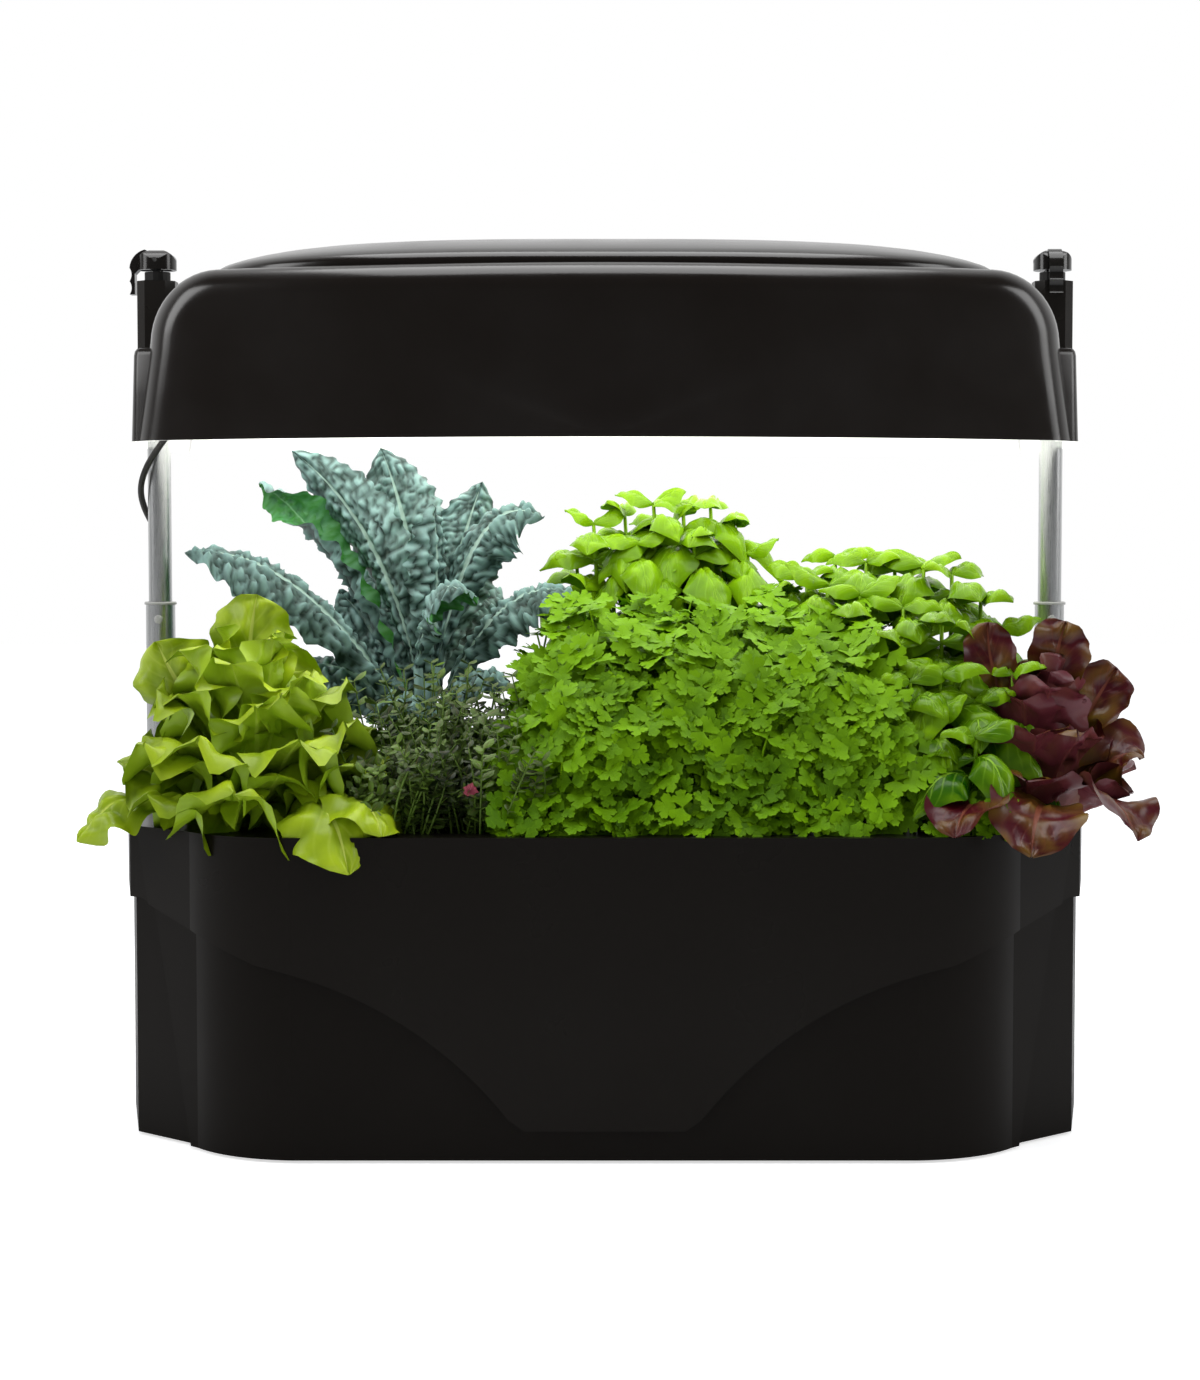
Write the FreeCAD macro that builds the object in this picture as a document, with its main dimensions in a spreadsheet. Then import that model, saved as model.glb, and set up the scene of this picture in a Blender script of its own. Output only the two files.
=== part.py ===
import FreeCAD, Part
import math
import os

import Sketcher

# Covered garden bed: a black moulded bed on the floor and a lamp hood over it, carried by two
# telescoping aluminium posts. Millimetres, +Z up, length along X, front towards -Y.

os.makedirs("parts", exist_ok=True)
doc = FreeCAD.newDocument("CoveredGardenBed")
Vector = FreeCAD.Vector

# Driving dimensions
SIZES = {
    # bed: flat front and back with slanting wings, whose corners draw in towards the floor
    "bed_half_length": 325.0,
    "bed_half_depth": 208.0,
    "front_flat_in": 130.0,
    "shoulder_in": 63.0,
    "shoulder_back": 36.0,
    "shoulder_bend": 85.0,
    "bed_corner_in": 23.0,
    "bed_corner_back": 74.0,
    "foot_corner_in": 58.0,
    "end_flat": 30.0,
    "end_side_in": 17.0,
    "end_back": 85.0,
    "end_front_in": 63.0,
    "end_front_back": 44.0,
    "rim_height": 204.0,
    "skirt_step": 3.4,
    "shell_wall": 2.6,
    # lower edge of the planter's shields, seen from the front
    "shield_flat": 50.0,
    "shield_low": 21.0,
    "shield_nose_x": 60.0,
    "shield_nose_height": 28.0,
    "shield_curve": 260.0,
    "shield_wing_in": 108.0,
    "shield_wing_height": 124.0,
    "shield_corner_in": 25.0,
    "shield_corner_height": 157.0,
    "shield_side_height": 149.0,
    # basin, soil and water parts
    "basin_in": 41.0,
    "basin_back": 18.0,
    "basin_corner_back": 72.0,
    "basin_floor": 60.0,
    "soil_level": 190.0,
    "soil_gap": 0.3,
    "wick_x": 140.0,
    "wick_length": 80.0,
    "wick_width": 56.0,
    "wick_wall": 2.0,
    "wick_flange": 5.0,
    "wick_lift": 2.0,
    "wick_slots": 4.0,
    "wick_slot_width": 4.0,
    "wick_slot_low": 14.0,
    "wick_slot_high": 48.0,
    # feet
    "foot_height": 2.0,
    "foot_length": 40.0,
    "foot_width": 14.0,
    "foot_in": 100.0,
    "foot_back": 73.0,
    # telescoping posts
    "post_in": 18.5,
    "lower_post_radius": 10.0,
    "lower_post_wall": 1.3,
    "lower_post_top": 343.0,
    "upper_post_radius": 8.0,
    "upper_post_wall": 1.2,
    "upper_post_low": 262.0,
    "upper_post_slit": 2.0,
    "upper_post_slit_height": 24.0,
    "slide_gap": 0.1,
    "fit_gap": 0.1,
    "bush_flange_radius": 11.0,
    "bush_flange": 2.0,
    "bush_length": 26.0,
    "socket_wall": 2.4,
    "socket_height": 40.0,
    # hood: a bowed canopy whose front rounds over at its upper corners
    "hood_past_post": 15.0,
    "hood_half_depth": 205.0,
    "hood_corner_in": 19.5,
    "hood_corner_back": 75.0,
    "hood_low": 451.0,
    "hood_high": 559.0,
    "hood_ledge": 511.0,
    "hood_end_angle": 1.9,
    "hood_side_in": 10.0,
    "hood_round": 36.0,
    "hood_edge": 9.0,
    "hood_edge_angle": 45.0,
    "hood_end_flat": 22.0,
    "hood_end_side_in": 17.0,
    "hood_end_back": 84.0,
    "hood_end_front_in": 31.5,
    "hood_end_front_back": 77.0,
    "hood_rib_x": 200.0,
    "hood_rib_half_depth": 70.0,
    "cap_in": 57.5,
    "cap_back": 21.0,
    "cap_corner_in": 26.0,
    "cap_corner_back": 72.0,
    "cap_edge": 3.0,
    "cap_crest": 586.0,
    "cap_flat_in": 114.0,
    "cap_end_bend": 300.0,
    "cap_side_bend": 690.0,
    "cap_edge_wall": 10.0,
    "cap_hollow": 11.0,
    # lamp
    "tray_level": 470.0,
    "tray_plate": 1.2,
    "tray_lip": 10.0,
    "tray_in": 35.5,
    "tray_end_past": 2.0,
    "tray_bend_x": 120.0,
    "tray_back": 16.0,
    "board_in": 41.0,
    "board_width": 40.0,
    "board_thick": 1.6,
    "board_pitch": 100.0,
    "led_size": 5.0,
    "led_thick": 1.0,
    "led_end": 12.0,
    "led_count": 8.0,
    "diffuser_thick": 2.0,
    "diffuser_gap": 0.3,
    "driver_length": 150.0,
    "driver_width": 62.0,
    "driver_height": 34.0,
    # bracket towers
    "tower_top": 564.0,
    "tower_half": 13.0,
    "tower_corner": 6.0,
    "tower_spigot_half": 10.5,
    "bay_gap": 1.5,
    "flange_thick": 3.0,
    "flange_half_depth": 26.0,
    "flange_in": 24.0,
    "flange_out": 9.0,
    # clamp heads, measured up from the tower's top
    "washer_radius": 8.8,
    "washer_thick": 6.0,
    "turn_gap": 0.3,
    "dome_gap": 1.4,
    "dome_radius": 13.0,
    "dome_skirt": 3.4,
    "dome_height": 14.0,
    "dome_shoulder": 9.5,
    "dome_shoulder_drop": 3.0,
    "dome_bend": 16.5,
    "dome_edge": 9.0,
    "dome_edge_out": 0.5,
    "slot_width": 9.8,
    "slot_back": 9.9,
    "lever_width": 9.2,
    "lever_reach": 18.5,
    "lever_thick": 3.6,
    "lever_drop": 23.0,
    "lever_top": 7.5,
    "lever_neck": 2.0,
    "lever_shoulder": 14.0,
    "lever_crest_x": 8.0,
    "grip_pitch": 9.0,
    "grip_bend": 8.0,
    "cam_radius": 7.0,
    "cam_out": 0.46,
    "cam_down": 0.655,
    "cam_gap": 0.15,
    "pin_radius": 1.5,
    "pin_length": 23.0,
    "hinge_gap": 0.05,
    "rod_radius": 2.4,
    "rod_hole_radius": 2.8,
    "rod_eye_half": 3.0,
    "rod_eye_width": 5.0,
    "fork_width": 5.4,
    "fork_depth": 4.6,
    "wedge_radius": 7.3,
    "wedge_below": 10.0,
    "wedge_height": 16.0,
    "wedge_angle": 4.9,
    # cord
    "cord_radius": 2.2,
    "gland_inward": 15.5,
    "gland_forward": 15.0,
    "gland_radius": 5.0,
    "gland_taper": 0.6,
    "gland_length": 20.0,
    "coil_outer_radius": 34.0,
    "coil_gap": 0.5,
    "coil_x": -178.2,
    "coil_y": 254.0,
    "plug_length": 34.0,
    "plug_width": 26.0,
    "plug_neck": 16.0,
    "plug_neck_half": 4.4,
    "plug_height": 14.6,
    "plug_tail": 28.0,
    "plug_pin_length": 18.0,
    "plug_pin_width": 6.3,
    "plug_pin_thick": 1.5,
    "plug_pin_pitch": 12.7,
}

sheet = doc.addObject("Spreadsheet::Sheet", "Sizes")
for row, (alias, number) in enumerate(SIZES.items(), start=1):
    sheet.set(f"A{row}", alias)
    sheet.set(f"B{row}", str(number))
    sheet.setAlias(f"B{row}", alias)
doc.recompute()


class Size:
    """A length from the sheet, or one worked out from them: its number and its expression."""

    def __init__(self, number, text):
        self.number = float(number)
        self.text = text

    @staticmethod
    def of(value):
        return value if isinstance(value, Size) else Size(value, repr(float(value)))

    def _join(self, other, sign, number):
        return Size(number, f"({self.text} {sign} {Size.of(other).text})")

    def __add__(self, other):
        return self._join(other, "+", self.number + Size.of(other).number)

    def __sub__(self, other):
        return self._join(other, "-", self.number - Size.of(other).number)

    def __mul__(self, other):
        return self._join(other, "*", self.number * Size.of(other).number)

    def __truediv__(self, other):
        return self._join(other, "/", self.number / Size.of(other).number)

    def __neg__(self):
        return Size(-self.number, f"(0 - {self.text})")

    def root(self):
        return Size(math.sqrt(self.number), f"sqrt({self.text})")


def size(alias):
    return Size(sheet.get(alias), f"Sizes.{alias}")


def bow(half_chord, rise):
    """Radius of the arc that stands `rise` above a chord of twice `half_chord`."""
    return (half_chord * half_chord + rise * rise) / (rise * 2)


def sag(radius, across):
    """How far an arc of this radius has fallen back at a distance `across` from its crown."""
    return radius - (radius * radius - across * across).root()


ZERO = Size(0, "0")
FAR = size("bed_half_length") * 2


# Sketches, whose corners and arcs are tied to the sheet

def bind(thing, **lengths):
    for name, length in lengths.items():
        thing.setExpression(name, Size.of(length).text)
    return thing


def origin_part(body, role):
    return [part for part in body.Origin.OriginFeatures if part.Role == role][0]


def tie(drawing, kind, place, length):
    index = drawing.addConstraint(Sketcher.Constraint(kind, *place, length.number))
    drawing.setExpression(f"Constraints[{index}]", length.text)


def hold(drawing, geometry, end, x, y):
    """Tie one point of a sketch to its distances from the sketch's origin."""
    for kind, axis, length in (("DistanceX", -2, Size.of(x)), ("DistanceY", -1, Size.of(y))):
        if abs(length.number) < 1e-9:
            drawing.addConstraint(Sketcher.Constraint("PointOnObject", geometry, end, axis))
        elif length.number > 0:
            tie(drawing, kind, (-1, 1, geometry, end), length)
        else:
            tie(drawing, kind, (geometry, end, -1, 1), -length)


def draw_loop(drawing, corners):
    """A closed loop that runs anticlockwise. A corner is (x, y), or (x, y, radius) where an arc
    leads on to the next one: outwards with a positive radius, inwards with a negative one."""
    points = [Vector(Size.of(corner[0]).number, Size.of(corner[1]).number, 0) for corner in corners]
    made = []
    for index, corner in enumerate(corners):
        start = points[index]
        end = points[(index + 1) % len(points)]
        if len(corner) == 2:
            piece = Part.LineSegment(start, end)
        else:
            radius = Size.of(corner[2]).number
            chord = end - start
            left = Vector(-chord.y, chord.x, 0).normalize()
            side = 1 if radius > 0 else -1
            reach = math.sqrt(max(radius * radius - chord.Length ** 2 / 4, 0))
            middle = (start + end) * 0.5 - left * side * (abs(radius) - reach)
            piece = Part.Arc(start, middle, end)
        made.append(drawing.addGeometry(piece))
    ends = []
    for index, geometry in enumerate(made):
        forward = (drawing.getPoint(geometry, 1) - points[index]).Length < 1e-6
        ends.append((1, 2) if forward else (2, 1))
    for index, geometry in enumerate(made):
        after = (index + 1) % len(made)
        drawing.addConstraint(Sketcher.Constraint(
            "Coincident", geometry, ends[index][1], made[after], ends[after][0]))
        hold(drawing, geometry, ends[index][0], corners[index][0], corners[index][1])
        if len(corners[index]) == 3:
            radius = Size.of(corners[index][2])
            tie(drawing, "Radius", (geometry,), radius if radius.number > 0 else -radius)


def draw_circle(drawing, x, y, radius):
    centre = Vector(Size.of(x).number, Size.of(y).number, 0)
    geometry = drawing.addGeometry(Part.Circle(centre, Vector(0, 0, 1), radius.number))
    hold(drawing, geometry, 3, x, y)
    tie(drawing, "Radius", (geometry,), radius)


def sketch(body, name, role="XY_Plane", loops=(), circles=(), lift=None):
    """A sketch on one of the body's own planes, lifted along the plane's normal."""
    drawing = body.newObject("Sketcher::SketchObject", name)
    drawing.AttachmentSupport = [(origin_part(body, role), "")]
    drawing.MapMode = "FlatFace"
    if lift is not None:
        drawing.setExpression("AttachmentOffset.Base.z", Size.of(lift).text)
    for corners in loops:
        draw_loop(drawing, corners)
    for circle in circles:
        draw_circle(drawing, *circle)
    return drawing


def mirrored(corners):
    """The same loop on the other side of the upright axis, still anticlockwise."""
    turned = []
    for index in range(len(corners)):
        here = corners[-index % len(corners)]
        before = corners[(-index - 1) % len(corners)]
        turned.append((-Size.of(here[0]), here[1]) + tuple(before[2:]))
    return turned


def rectangle(low_x, high_x, low_y, high_y):
    return [(low_x, low_y), (high_x, low_y), (high_x, high_y), (low_x, high_y)]


# Bodies and their features

def new_body(label):
    body = doc.addObject("PartDesign::Body", label)
    body.Label = label
    return body


def pad(body, profile, length, symmetric=False, down=False, taper=None):
    feature = body.newObject("PartDesign::Pad", f"{profile.Name}_pad")
    feature.Profile = profile
    if symmetric:
        feature.SideType = "Symmetric"
    feature.Reversed = down
    if taper is not None:
        bind(feature, TaperAngle=taper)
    return bind(feature, Length=length)


def pocket(body, profile, length, symmetric=False, up=False):
    feature = body.newObject("PartDesign::Pocket", f"{profile.Name}_cut")
    feature.Profile = profile
    if symmetric:
        feature.SideType = "Symmetric"
    feature.Reversed = up
    return bind(feature, Length=length)


def repeat(body, feature, kind, role, count, **lengths):
    """Copies of a feature round one of the body's axes, or in a row along it."""
    doc.recompute()
    pattern = body.newObject(f"PartDesign::{kind}", f"{feature.Name}_copies")
    pattern.Originals = [feature]
    axis = "Axis" if kind == "PolarPattern" else "Direction"
    setattr(pattern, axis, (origin_part(body, role), [""]))
    bind(pattern, **lengths)
    pattern.Occurrences = int(round(count.number))
    body.Tip = pattern
    return pattern


def cut(label, base, tool):
    feature = doc.addObject("Part::Cut", label)
    feature.Base = base
    feature.Tool = tool
    feature.Label = label
    return feature


def fuse(label, *shapes):
    feature = doc.addObject("Part::MultiFuse", label)
    feature.Shapes = list(shapes)
    feature.Label = label
    return feature


def place(thing, x=ZERO, y=ZERO, z=ZERO, angle=0):
    """Put a piece where it belongs, turned about the vertical."""
    thing.Placement = FreeCAD.Placement(
        Vector(Size.of(x).number, Size.of(y).number, Size.of(z).number),
        FreeCAD.Rotation(Vector(0, 0, 1), angle))
    for axis, length in (("x", x), ("y", y), ("z", z)):
        thing.setExpression(f".Placement.Base.{axis}", Size.of(length).text)
    return thing


kept = []


def keep(thing):
    """Mark a piece as one of the finished sub-parts."""
    kept.append(thing)
    return thing


# Form of the bed, shared by its outer walls, its hollows and the planter that hangs on it
bed_length = size("bed_half_length")
bed_depth = size("bed_half_depth")


def long_side_plan(inset):
    """Flat front and back that ease through tight shoulders into straight wings."""
    flat_x = bed_length - size("front_flat_in")
    flat_y = bed_depth - inset
    shoulder_x = bed_length - size("shoulder_in") - inset
    shoulder_y = bed_depth - size("shoulder_back") - inset
    bend = size("shoulder_bend")
    corner_x = bed_length - size("bed_corner_in") - inset
    corner_y = bed_depth - size("bed_corner_back") - inset
    return [(corner_x, -corner_y), (corner_x, corner_y), (shoulder_x, shoulder_y, bend),
            (flat_x, flat_y), (-flat_x, flat_y, bend), (-shoulder_x, shoulder_y),
            (-corner_x, corner_y), (-corner_x, -corner_y), (-shoulder_x, -shoulder_y, bend),
            (-flat_x, -flat_y), (flat_x, -flat_y, bend), (shoulder_x, -shoulder_y)]


def end_plan(half_length, names, half_depth, inset):
    """Upright end walls: a flat middle and slants that run in behind the front and the back."""
    end_x = half_length - inset
    flat = size(f"{names}_flat")
    side_x = half_length - size(f"{names}_side_in") - inset
    side_y = half_depth - size(f"{names}_back") - inset
    in_x = half_length - size(f"{names}_front_in") - inset
    in_y = half_depth - size(f"{names}_front_back") - inset
    return [(end_x, -flat), (end_x, flat), (side_x, side_y), (in_x, in_y), (-in_x, in_y),
            (-side_x, side_y), (-end_x, flat), (-end_x, -flat), (-side_x, -side_y),
            (-in_x, -in_y), (in_x, -in_y), (side_x, -side_y)]


def bed_block(label, inset, low, high):
    """The bed's form between two heights, shrunk all round by `inset`."""
    body = new_body(label)
    tall = high - low
    pad(body, sketch(body, f"{label}_front", lift=low, loops=[long_side_plan(inset)]), tall)
    foot_x = bed_length - size("foot_corner_in") - inset
    slope = (size("foot_corner_in") - size("bed_corner_in")) / size("rim_height")
    beside = [(foot_x + slope * low, low), (FAR, low), (FAR, high), (foot_x + slope * high, high)]
    pocket(body, sketch(body, f"{label}_lean", "XZ_Plane", loops=[beside, mirrored(beside)]),
           FAR, symmetric=True)
    pad(body, sketch(body, f"{label}_ends", lift=low, loops=[
        end_plan(bed_length, "end", bed_depth, inset)]), tall)
    return body


def barrel_plan(corner_x, corner_y, half_length, half_depth):
    """Four corners joined by bowed long sides and by ends that are bowed or, without a length, flat."""
    long_side = bow(corner_x, half_depth - corner_y)
    end = () if half_length is None else (bow(corner_y, half_length - corner_x),)
    return [(corner_x, -corner_y) + end, (corner_x, corner_y, long_side),
            (-corner_x, corner_y) + end, (-corner_x, -corner_y, long_side)]


def pair(x, y, radius):
    """The same circle at both posts, or at both of any two places left and right."""
    return [(x, y, radius), (-x, y, radius)]


def many_sided(radius, corners):
    """A regular outline with this many corners, its first one half a step past the X axis."""
    turned = [math.pi * (2 * number + 1) / corners for number in range(corners)]
    return [(radius * math.cos(angle), radius * math.sin(angle)) for angle in turned]


# Base tub: the open water reservoir on the floor. Its top edge carries the planter's rim, and
# sockets inside its ends hold the posts.
wall = size("shell_wall")
rim = size("rim_height")
step = size("skirt_step")
fit = size("fit_gap")
tub_low = size("foot_height")
tub_floor = tub_low + wall
post_x = bed_length - size("post_in")
lower_radius = size("lower_post_radius")

tub_outer = bed_block("tub_outer", step, tub_low, rim - wall)
tub_hollow = bed_block("tub_hollow", step + wall, tub_floor, rim)
tub_sockets = new_body("tub_sockets")
socket_half = lower_radius + fit + size("socket_wall")
pad(tub_sockets, sketch(tub_sockets, "socket_plans", lift=tub_floor, loops=[
    rectangle(post_x * sign - socket_half, post_x * sign + socket_half, -socket_half, socket_half)
    for sign in (-1, 1)], circles=pair(post_x, ZERO, lower_radius + fit)), size("socket_height"))
keep(fuse("base_tub", cut("tub_shell", tub_outer, tub_hollow), tub_sockets))

base_feet = keep(new_body("base_feet"))
half_foot = size("foot_length") / 2
half_foot_width = size("foot_width") / 2
foot_x = bed_length - size("foot_in")
foot_y = bed_depth - size("foot_back")
pad(base_feet, sketch(base_feet, "feet_plan", loops=[
    rectangle(foot_x * across - half_foot, foot_x * across + half_foot,
              foot_y * along - half_foot_width, foot_y * along + half_foot_width)
    for across in (-1, 1) for along in (-1, 1)]), tub_low)

# Planter tub: the rim rests on the base tub, shields hang over its walls down to a V-shaped
# edge in front and behind, and the basin hangs inside with two wells in its floor.
planter_outer = bed_block("planter_outer", ZERO, ZERO, rim)
planter_hollow = bed_block("planter_hollow", wall, -wall, rim - wall)
shield_cut = new_body("shield_cut")
below = -wall * 2
flat_x = size("shield_flat")
nose = (size("shield_nose_x"), size("shield_nose_height"))
wing = (bed_length - size("shield_wing_in"), size("shield_wing_height"))
corner = (bed_length - size("shield_corner_in"), size("shield_corner_height"))
side_height = size("shield_side_height")
curve = size("shield_curve")
pad(shield_cut, sketch(shield_cut, "shield_edge", "XZ_Plane", loops=[[
    (-FAR, below), (FAR, below), (FAR, side_height), corner, wing + (curve,), nose,
    (flat_x, size("shield_low")), (-flat_x, size("shield_low")), (-nose[0], nose[1], curve),
    (-wing[0], wing[1]), (-corner[0], corner[1]), (-FAR, side_height)]]), FAR, symmetric=True)


def basin_block(label, inset, low, high):
    """The basin's form between two heights, shrunk all round by `inset`."""
    body = new_body(label)
    half_depth = bed_depth - size("basin_back") - inset
    plan = barrel_plan(bed_length - size("basin_in") - inset, half_depth - size("basin_corner_back"),
                       None, half_depth)
    pad(body, sketch(body, f"{label}_plan", lift=low, loops=[plan]), high - low)
    return body


basin_low = size("basin_floor")
basin_floor = basin_low + wall
basin_outer = basin_block("basin_outer", -wall, basin_low, rim)
basin_hollow = basin_block("basin_hollow", ZERO, basin_floor, rim + wall)
wick_x = size("wick_x")
wick_half_length = size("wick_length") / 2
wick_half_width = size("wick_width") / 2


def wick_plan(x, spread):
    """A basket's outline about its place on the basin floor, widened all round by `spread`."""
    return rectangle(x - wick_half_length - spread, x + wick_half_length + spread,
                     -wick_half_width - spread, wick_half_width + spread)


rim_bores = new_body("rim_bores")
pad(rim_bores, sketch(rim_bores, "post_bores", lift=rim - wall * 2, circles=pair(
    post_x, ZERO, lower_radius + size("turn_gap"))), wall * 3)
pad(rim_bores, sketch(rim_bores, "well_bores", lift=basin_low - wall, loops=[
    wick_plan(-wick_x, size("turn_gap")), wick_plan(wick_x, size("turn_gap"))]), wall * 3)
shields = cut("shields", cut("planter_shell", planter_outer, planter_hollow), shield_cut)
planter_solid = cut("planter_solid", fuse("planter_walls", shields, basin_outer), basin_hollow)
keep(cut("planter_tub", planter_solid, rim_bores))

# Wick baskets: slotted cups that hang by their flanges through the basin floor into the water.
wick_wall = size("wick_wall")
wick_low = tub_floor + size("wick_lift")
wick_top = basin_floor + wick_wall
slot_half = size("wick_slot_width") / 2
slot_spread = wick_half_length - wick_wall * 3 - slot_half
for side, sign in (("left", -1), ("right", 1)):
    basket = keep(new_body(f"wick_basket_{side}"))
    pad(basket, sketch(basket, f"basket_cup_{side}", lift=wick_low, loops=[
        wick_plan(ZERO, ZERO)]), basin_floor - wick_low)
    pad(basket, sketch(basket, f"basket_flange_{side}", lift=basin_floor, loops=[
        wick_plan(ZERO, size("wick_flange"))]), wick_wall)
    pocket(basket, sketch(basket, f"basket_hollow_{side}", lift=wick_top, loops=[
        wick_plan(ZERO, -wick_wall)]), wick_top - wick_low - wick_wall)
    slot = pocket(basket, sketch(basket, f"basket_slot_{side}", "XZ_Plane", loops=[rectangle(
        -slot_spread - slot_half, -slot_spread + slot_half,
        size("wick_slot_low"), size("wick_slot_high"))]), size("wick_width") * 2, symmetric=True)
    repeat(basket, slot, "LinearPattern", "X_Axis", size("wick_slots"), Length=slot_spread * 2)
    place(basket, wick_x * sign)

# Soil: fills the basin and the two baskets.
soil_gap = size("soil_gap")
soil_bed = keep(basin_block("soil_bed", soil_gap, wick_top, size("soil_level")))
pad(soil_bed, sketch(soil_bed, "soil_cores", lift=wick_top, loops=[
    wick_plan(-wick_x, -wick_wall - soil_gap), wick_plan(wick_x, -wick_wall - soil_gap)]),
    wick_top - wick_low - wick_wall - soil_gap, down=True)

# Posts: the lower tubes stand in the tub's sockets; a flanged bush in the mouth of each guides
# the upper tube, whose lower end is slit so that the clamp's cone can spread it.
lower_inner = lower_radius - size("lower_post_wall")
lower_top = size("lower_post_top")
upper_radius = size("upper_post_radius")
upper_inner = upper_radius - size("upper_post_wall")
upper_low = size("upper_post_low")
tower_top = size("tower_top")
BUSH_CORNERS = 16
bushes = []
for side, sign in (("left", -1), ("right", 1)):
    lower_post = keep(new_body(f"lower_post_{side}"))
    pad(lower_post, sketch(lower_post, f"lower_tube_{side}", lift=tub_floor, circles=[
        (ZERO, ZERO, lower_radius), (ZERO, ZERO, lower_inner)]), lower_top - tub_floor)
    place(lower_post, post_x * sign)

    upper_post = keep(new_body(f"upper_post_{side}"))
    pad(upper_post, sketch(upper_post, f"upper_tube_{side}", lift=upper_low, circles=[
        (ZERO, ZERO, upper_radius), (ZERO, ZERO, upper_inner)]), tower_top - upper_low)
    half_slit = size("upper_post_slit") / 2
    for role in ("XZ_Plane", "YZ_Plane"):
        pocket(upper_post, sketch(upper_post, f"{role[:2]}_slit_{side}", role, loops=[rectangle(
            -half_slit, half_slit, upper_low - half_slit, upper_low + size("upper_post_slit_height"))]),
            upper_radius * 3, symmetric=True)
    place(upper_post, post_x * sign)

    bush = new_body(f"bush_{side}")
    bush_bore = (ZERO, ZERO, upper_radius + size("slide_gap"))
    pad(bush, sketch(bush, f"bush_sleeve_{side}", lift=lower_top - size("bush_length"),
                     loops=[many_sided(lower_inner - fit, BUSH_CORNERS)], circles=[bush_bore]),
        size("bush_length"))
    pad(bush, sketch(bush, f"bush_flange_{side}", lift=lower_top,
                     loops=[many_sided(size("bush_flange_radius"), BUSH_CORNERS)], circles=[bush_bore]),
        size("bush_flange"))
    bushes.append(place(bush, post_x * sign))
keep(fuse("guide_bushes", *bushes))

# Hood: a canopy with bowed front and back whose ends step down to ledges for the towers.
hood_low = size("hood_low")
hood_high = size("hood_high")
ledge = size("hood_ledge")
hood_length = post_x + size("hood_past_post")
hood_depth = size("hood_half_depth")
hood_corner_x = hood_length - size("hood_corner_in")
hood_corner_y = hood_depth - size("hood_corner_back")
tower_half = size("tower_half")


def hood_block(label, inset, low):
    """The canopy's form from `low` up, shrunk all round by `inset`."""
    body = new_body(label)
    high = hood_high - inset
    corner_x = hood_corner_x - inset
    plan = barrel_plan(corner_x, hood_corner_y - inset, None, hood_depth - inset)
    edge = size("hood_edge")
    pad(body, sketch(body, f"{label}_plan", lift=low, loops=[plan]), high - edge - low)
    pad(body, sketch(body, f"{label}_bevel", lift=high - edge, loops=[plan]), edge,
        taper=-size("hood_edge_angle"))
    side_x = corner_x - size("hood_side_in")
    shoulder = hood_high - size("hood_round")
    slope = size("hood_side_in") / (shoulder - hood_low)
    round_x = corner_x + inset - size("hood_side_in") - size("hood_round")
    beside = [(side_x + slope * (shoulder - low), low), (FAR, low), (FAR, high),
              (round_x, high, -(size("hood_round") - inset)), (side_x, shoulder)]
    pocket(body, sketch(body, f"{label}_sides", "XZ_Plane", loops=[beside, mirrored(beside)]),
           FAR, symmetric=True)
    bay = [rectangle(post_x - tower_half - size("bay_gap") - inset, FAR,
                     -tower_half - size("bay_gap") - inset, tower_half + size("bay_gap") + inset)]
    pocket(body, sketch(body, f"{label}_bays", lift=ledge - inset, loops=bay + [mirrored(bay[0])]),
           FAR, up=True)
    pad(body, sketch(body, f"{label}_ends", lift=low, loops=[
        end_plan(hood_length, "hood_end", hood_depth, inset)]),
        ledge - inset - low, taper=-size("hood_end_angle"))
    return body


tray_top = size("tray_level") + size("tray_plate")
hood_outer = hood_block("hood_outer", ZERO, hood_low)
hood_hollow = hood_block("hood_hollow", wall, hood_low - wall)
tower_bores = new_body("tower_bores")
spigot_half = size("tower_spigot_half")
spigot_way = spigot_half + size("turn_gap")
pad(tower_bores, sketch(tower_bores, "tower_squares", lift=ledge - wall * 2, loops=[
    rectangle(post_x * sign - spigot_way, post_x * sign + spigot_way, -spigot_way, spigot_way)
    for sign in (-1, 1)]), wall * 3)
hood_ribs = new_body("hood_ribs")
rib_half_depth = size("hood_rib_half_depth")
pad(hood_ribs, sketch(hood_ribs, "rib_plans", lift=tray_top, loops=[
    rectangle(size("hood_rib_x") * sign - wall / 2, size("hood_rib_x") * sign + wall / 2,
              -rib_half_depth, rib_half_depth) for sign in (-1, 1)]), hood_high - wall / 2 - tray_top)
hood_open = cut("hood_open", cut("hood_walls", hood_outer, hood_hollow), tower_bores)
keep(fuse("hood_shell", hood_open, hood_ribs))

# Cap: the crowned deck on the hood's roof.
cap_top = size("cap_crest")
hood_cap = keep(new_body("hood_cap"))
cap_half_length = hood_length - size("cap_in")
cap_half_depth = hood_depth - size("cap_back")
cap_corner_x = cap_half_length - size("cap_corner_in")
cap_corner_y = cap_half_depth - size("cap_corner_back")
cap_flat = cap_half_length - size("cap_flat_in")
pad(hood_cap, sketch(hood_cap, "cap_plan", lift=hood_high, loops=[barrel_plan(
    cap_corner_x, cap_corner_y, cap_half_length, cap_half_depth)]), cap_top - hood_high)
cap_edge = hood_high + size("cap_edge")
above = [(FAR, cap_edge), (FAR, cap_top + FAR), (-FAR, cap_top + FAR), (-FAR, cap_edge),
         (-cap_half_length, cap_edge, -size("cap_end_bend")), (-cap_flat, cap_top),
         (cap_flat, cap_top, -size("cap_end_bend")), (cap_half_length, cap_edge)]
pocket(hood_cap, sketch(hood_cap, "cap_crown", "XZ_Plane", loops=[above]), FAR, symmetric=True)
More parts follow.
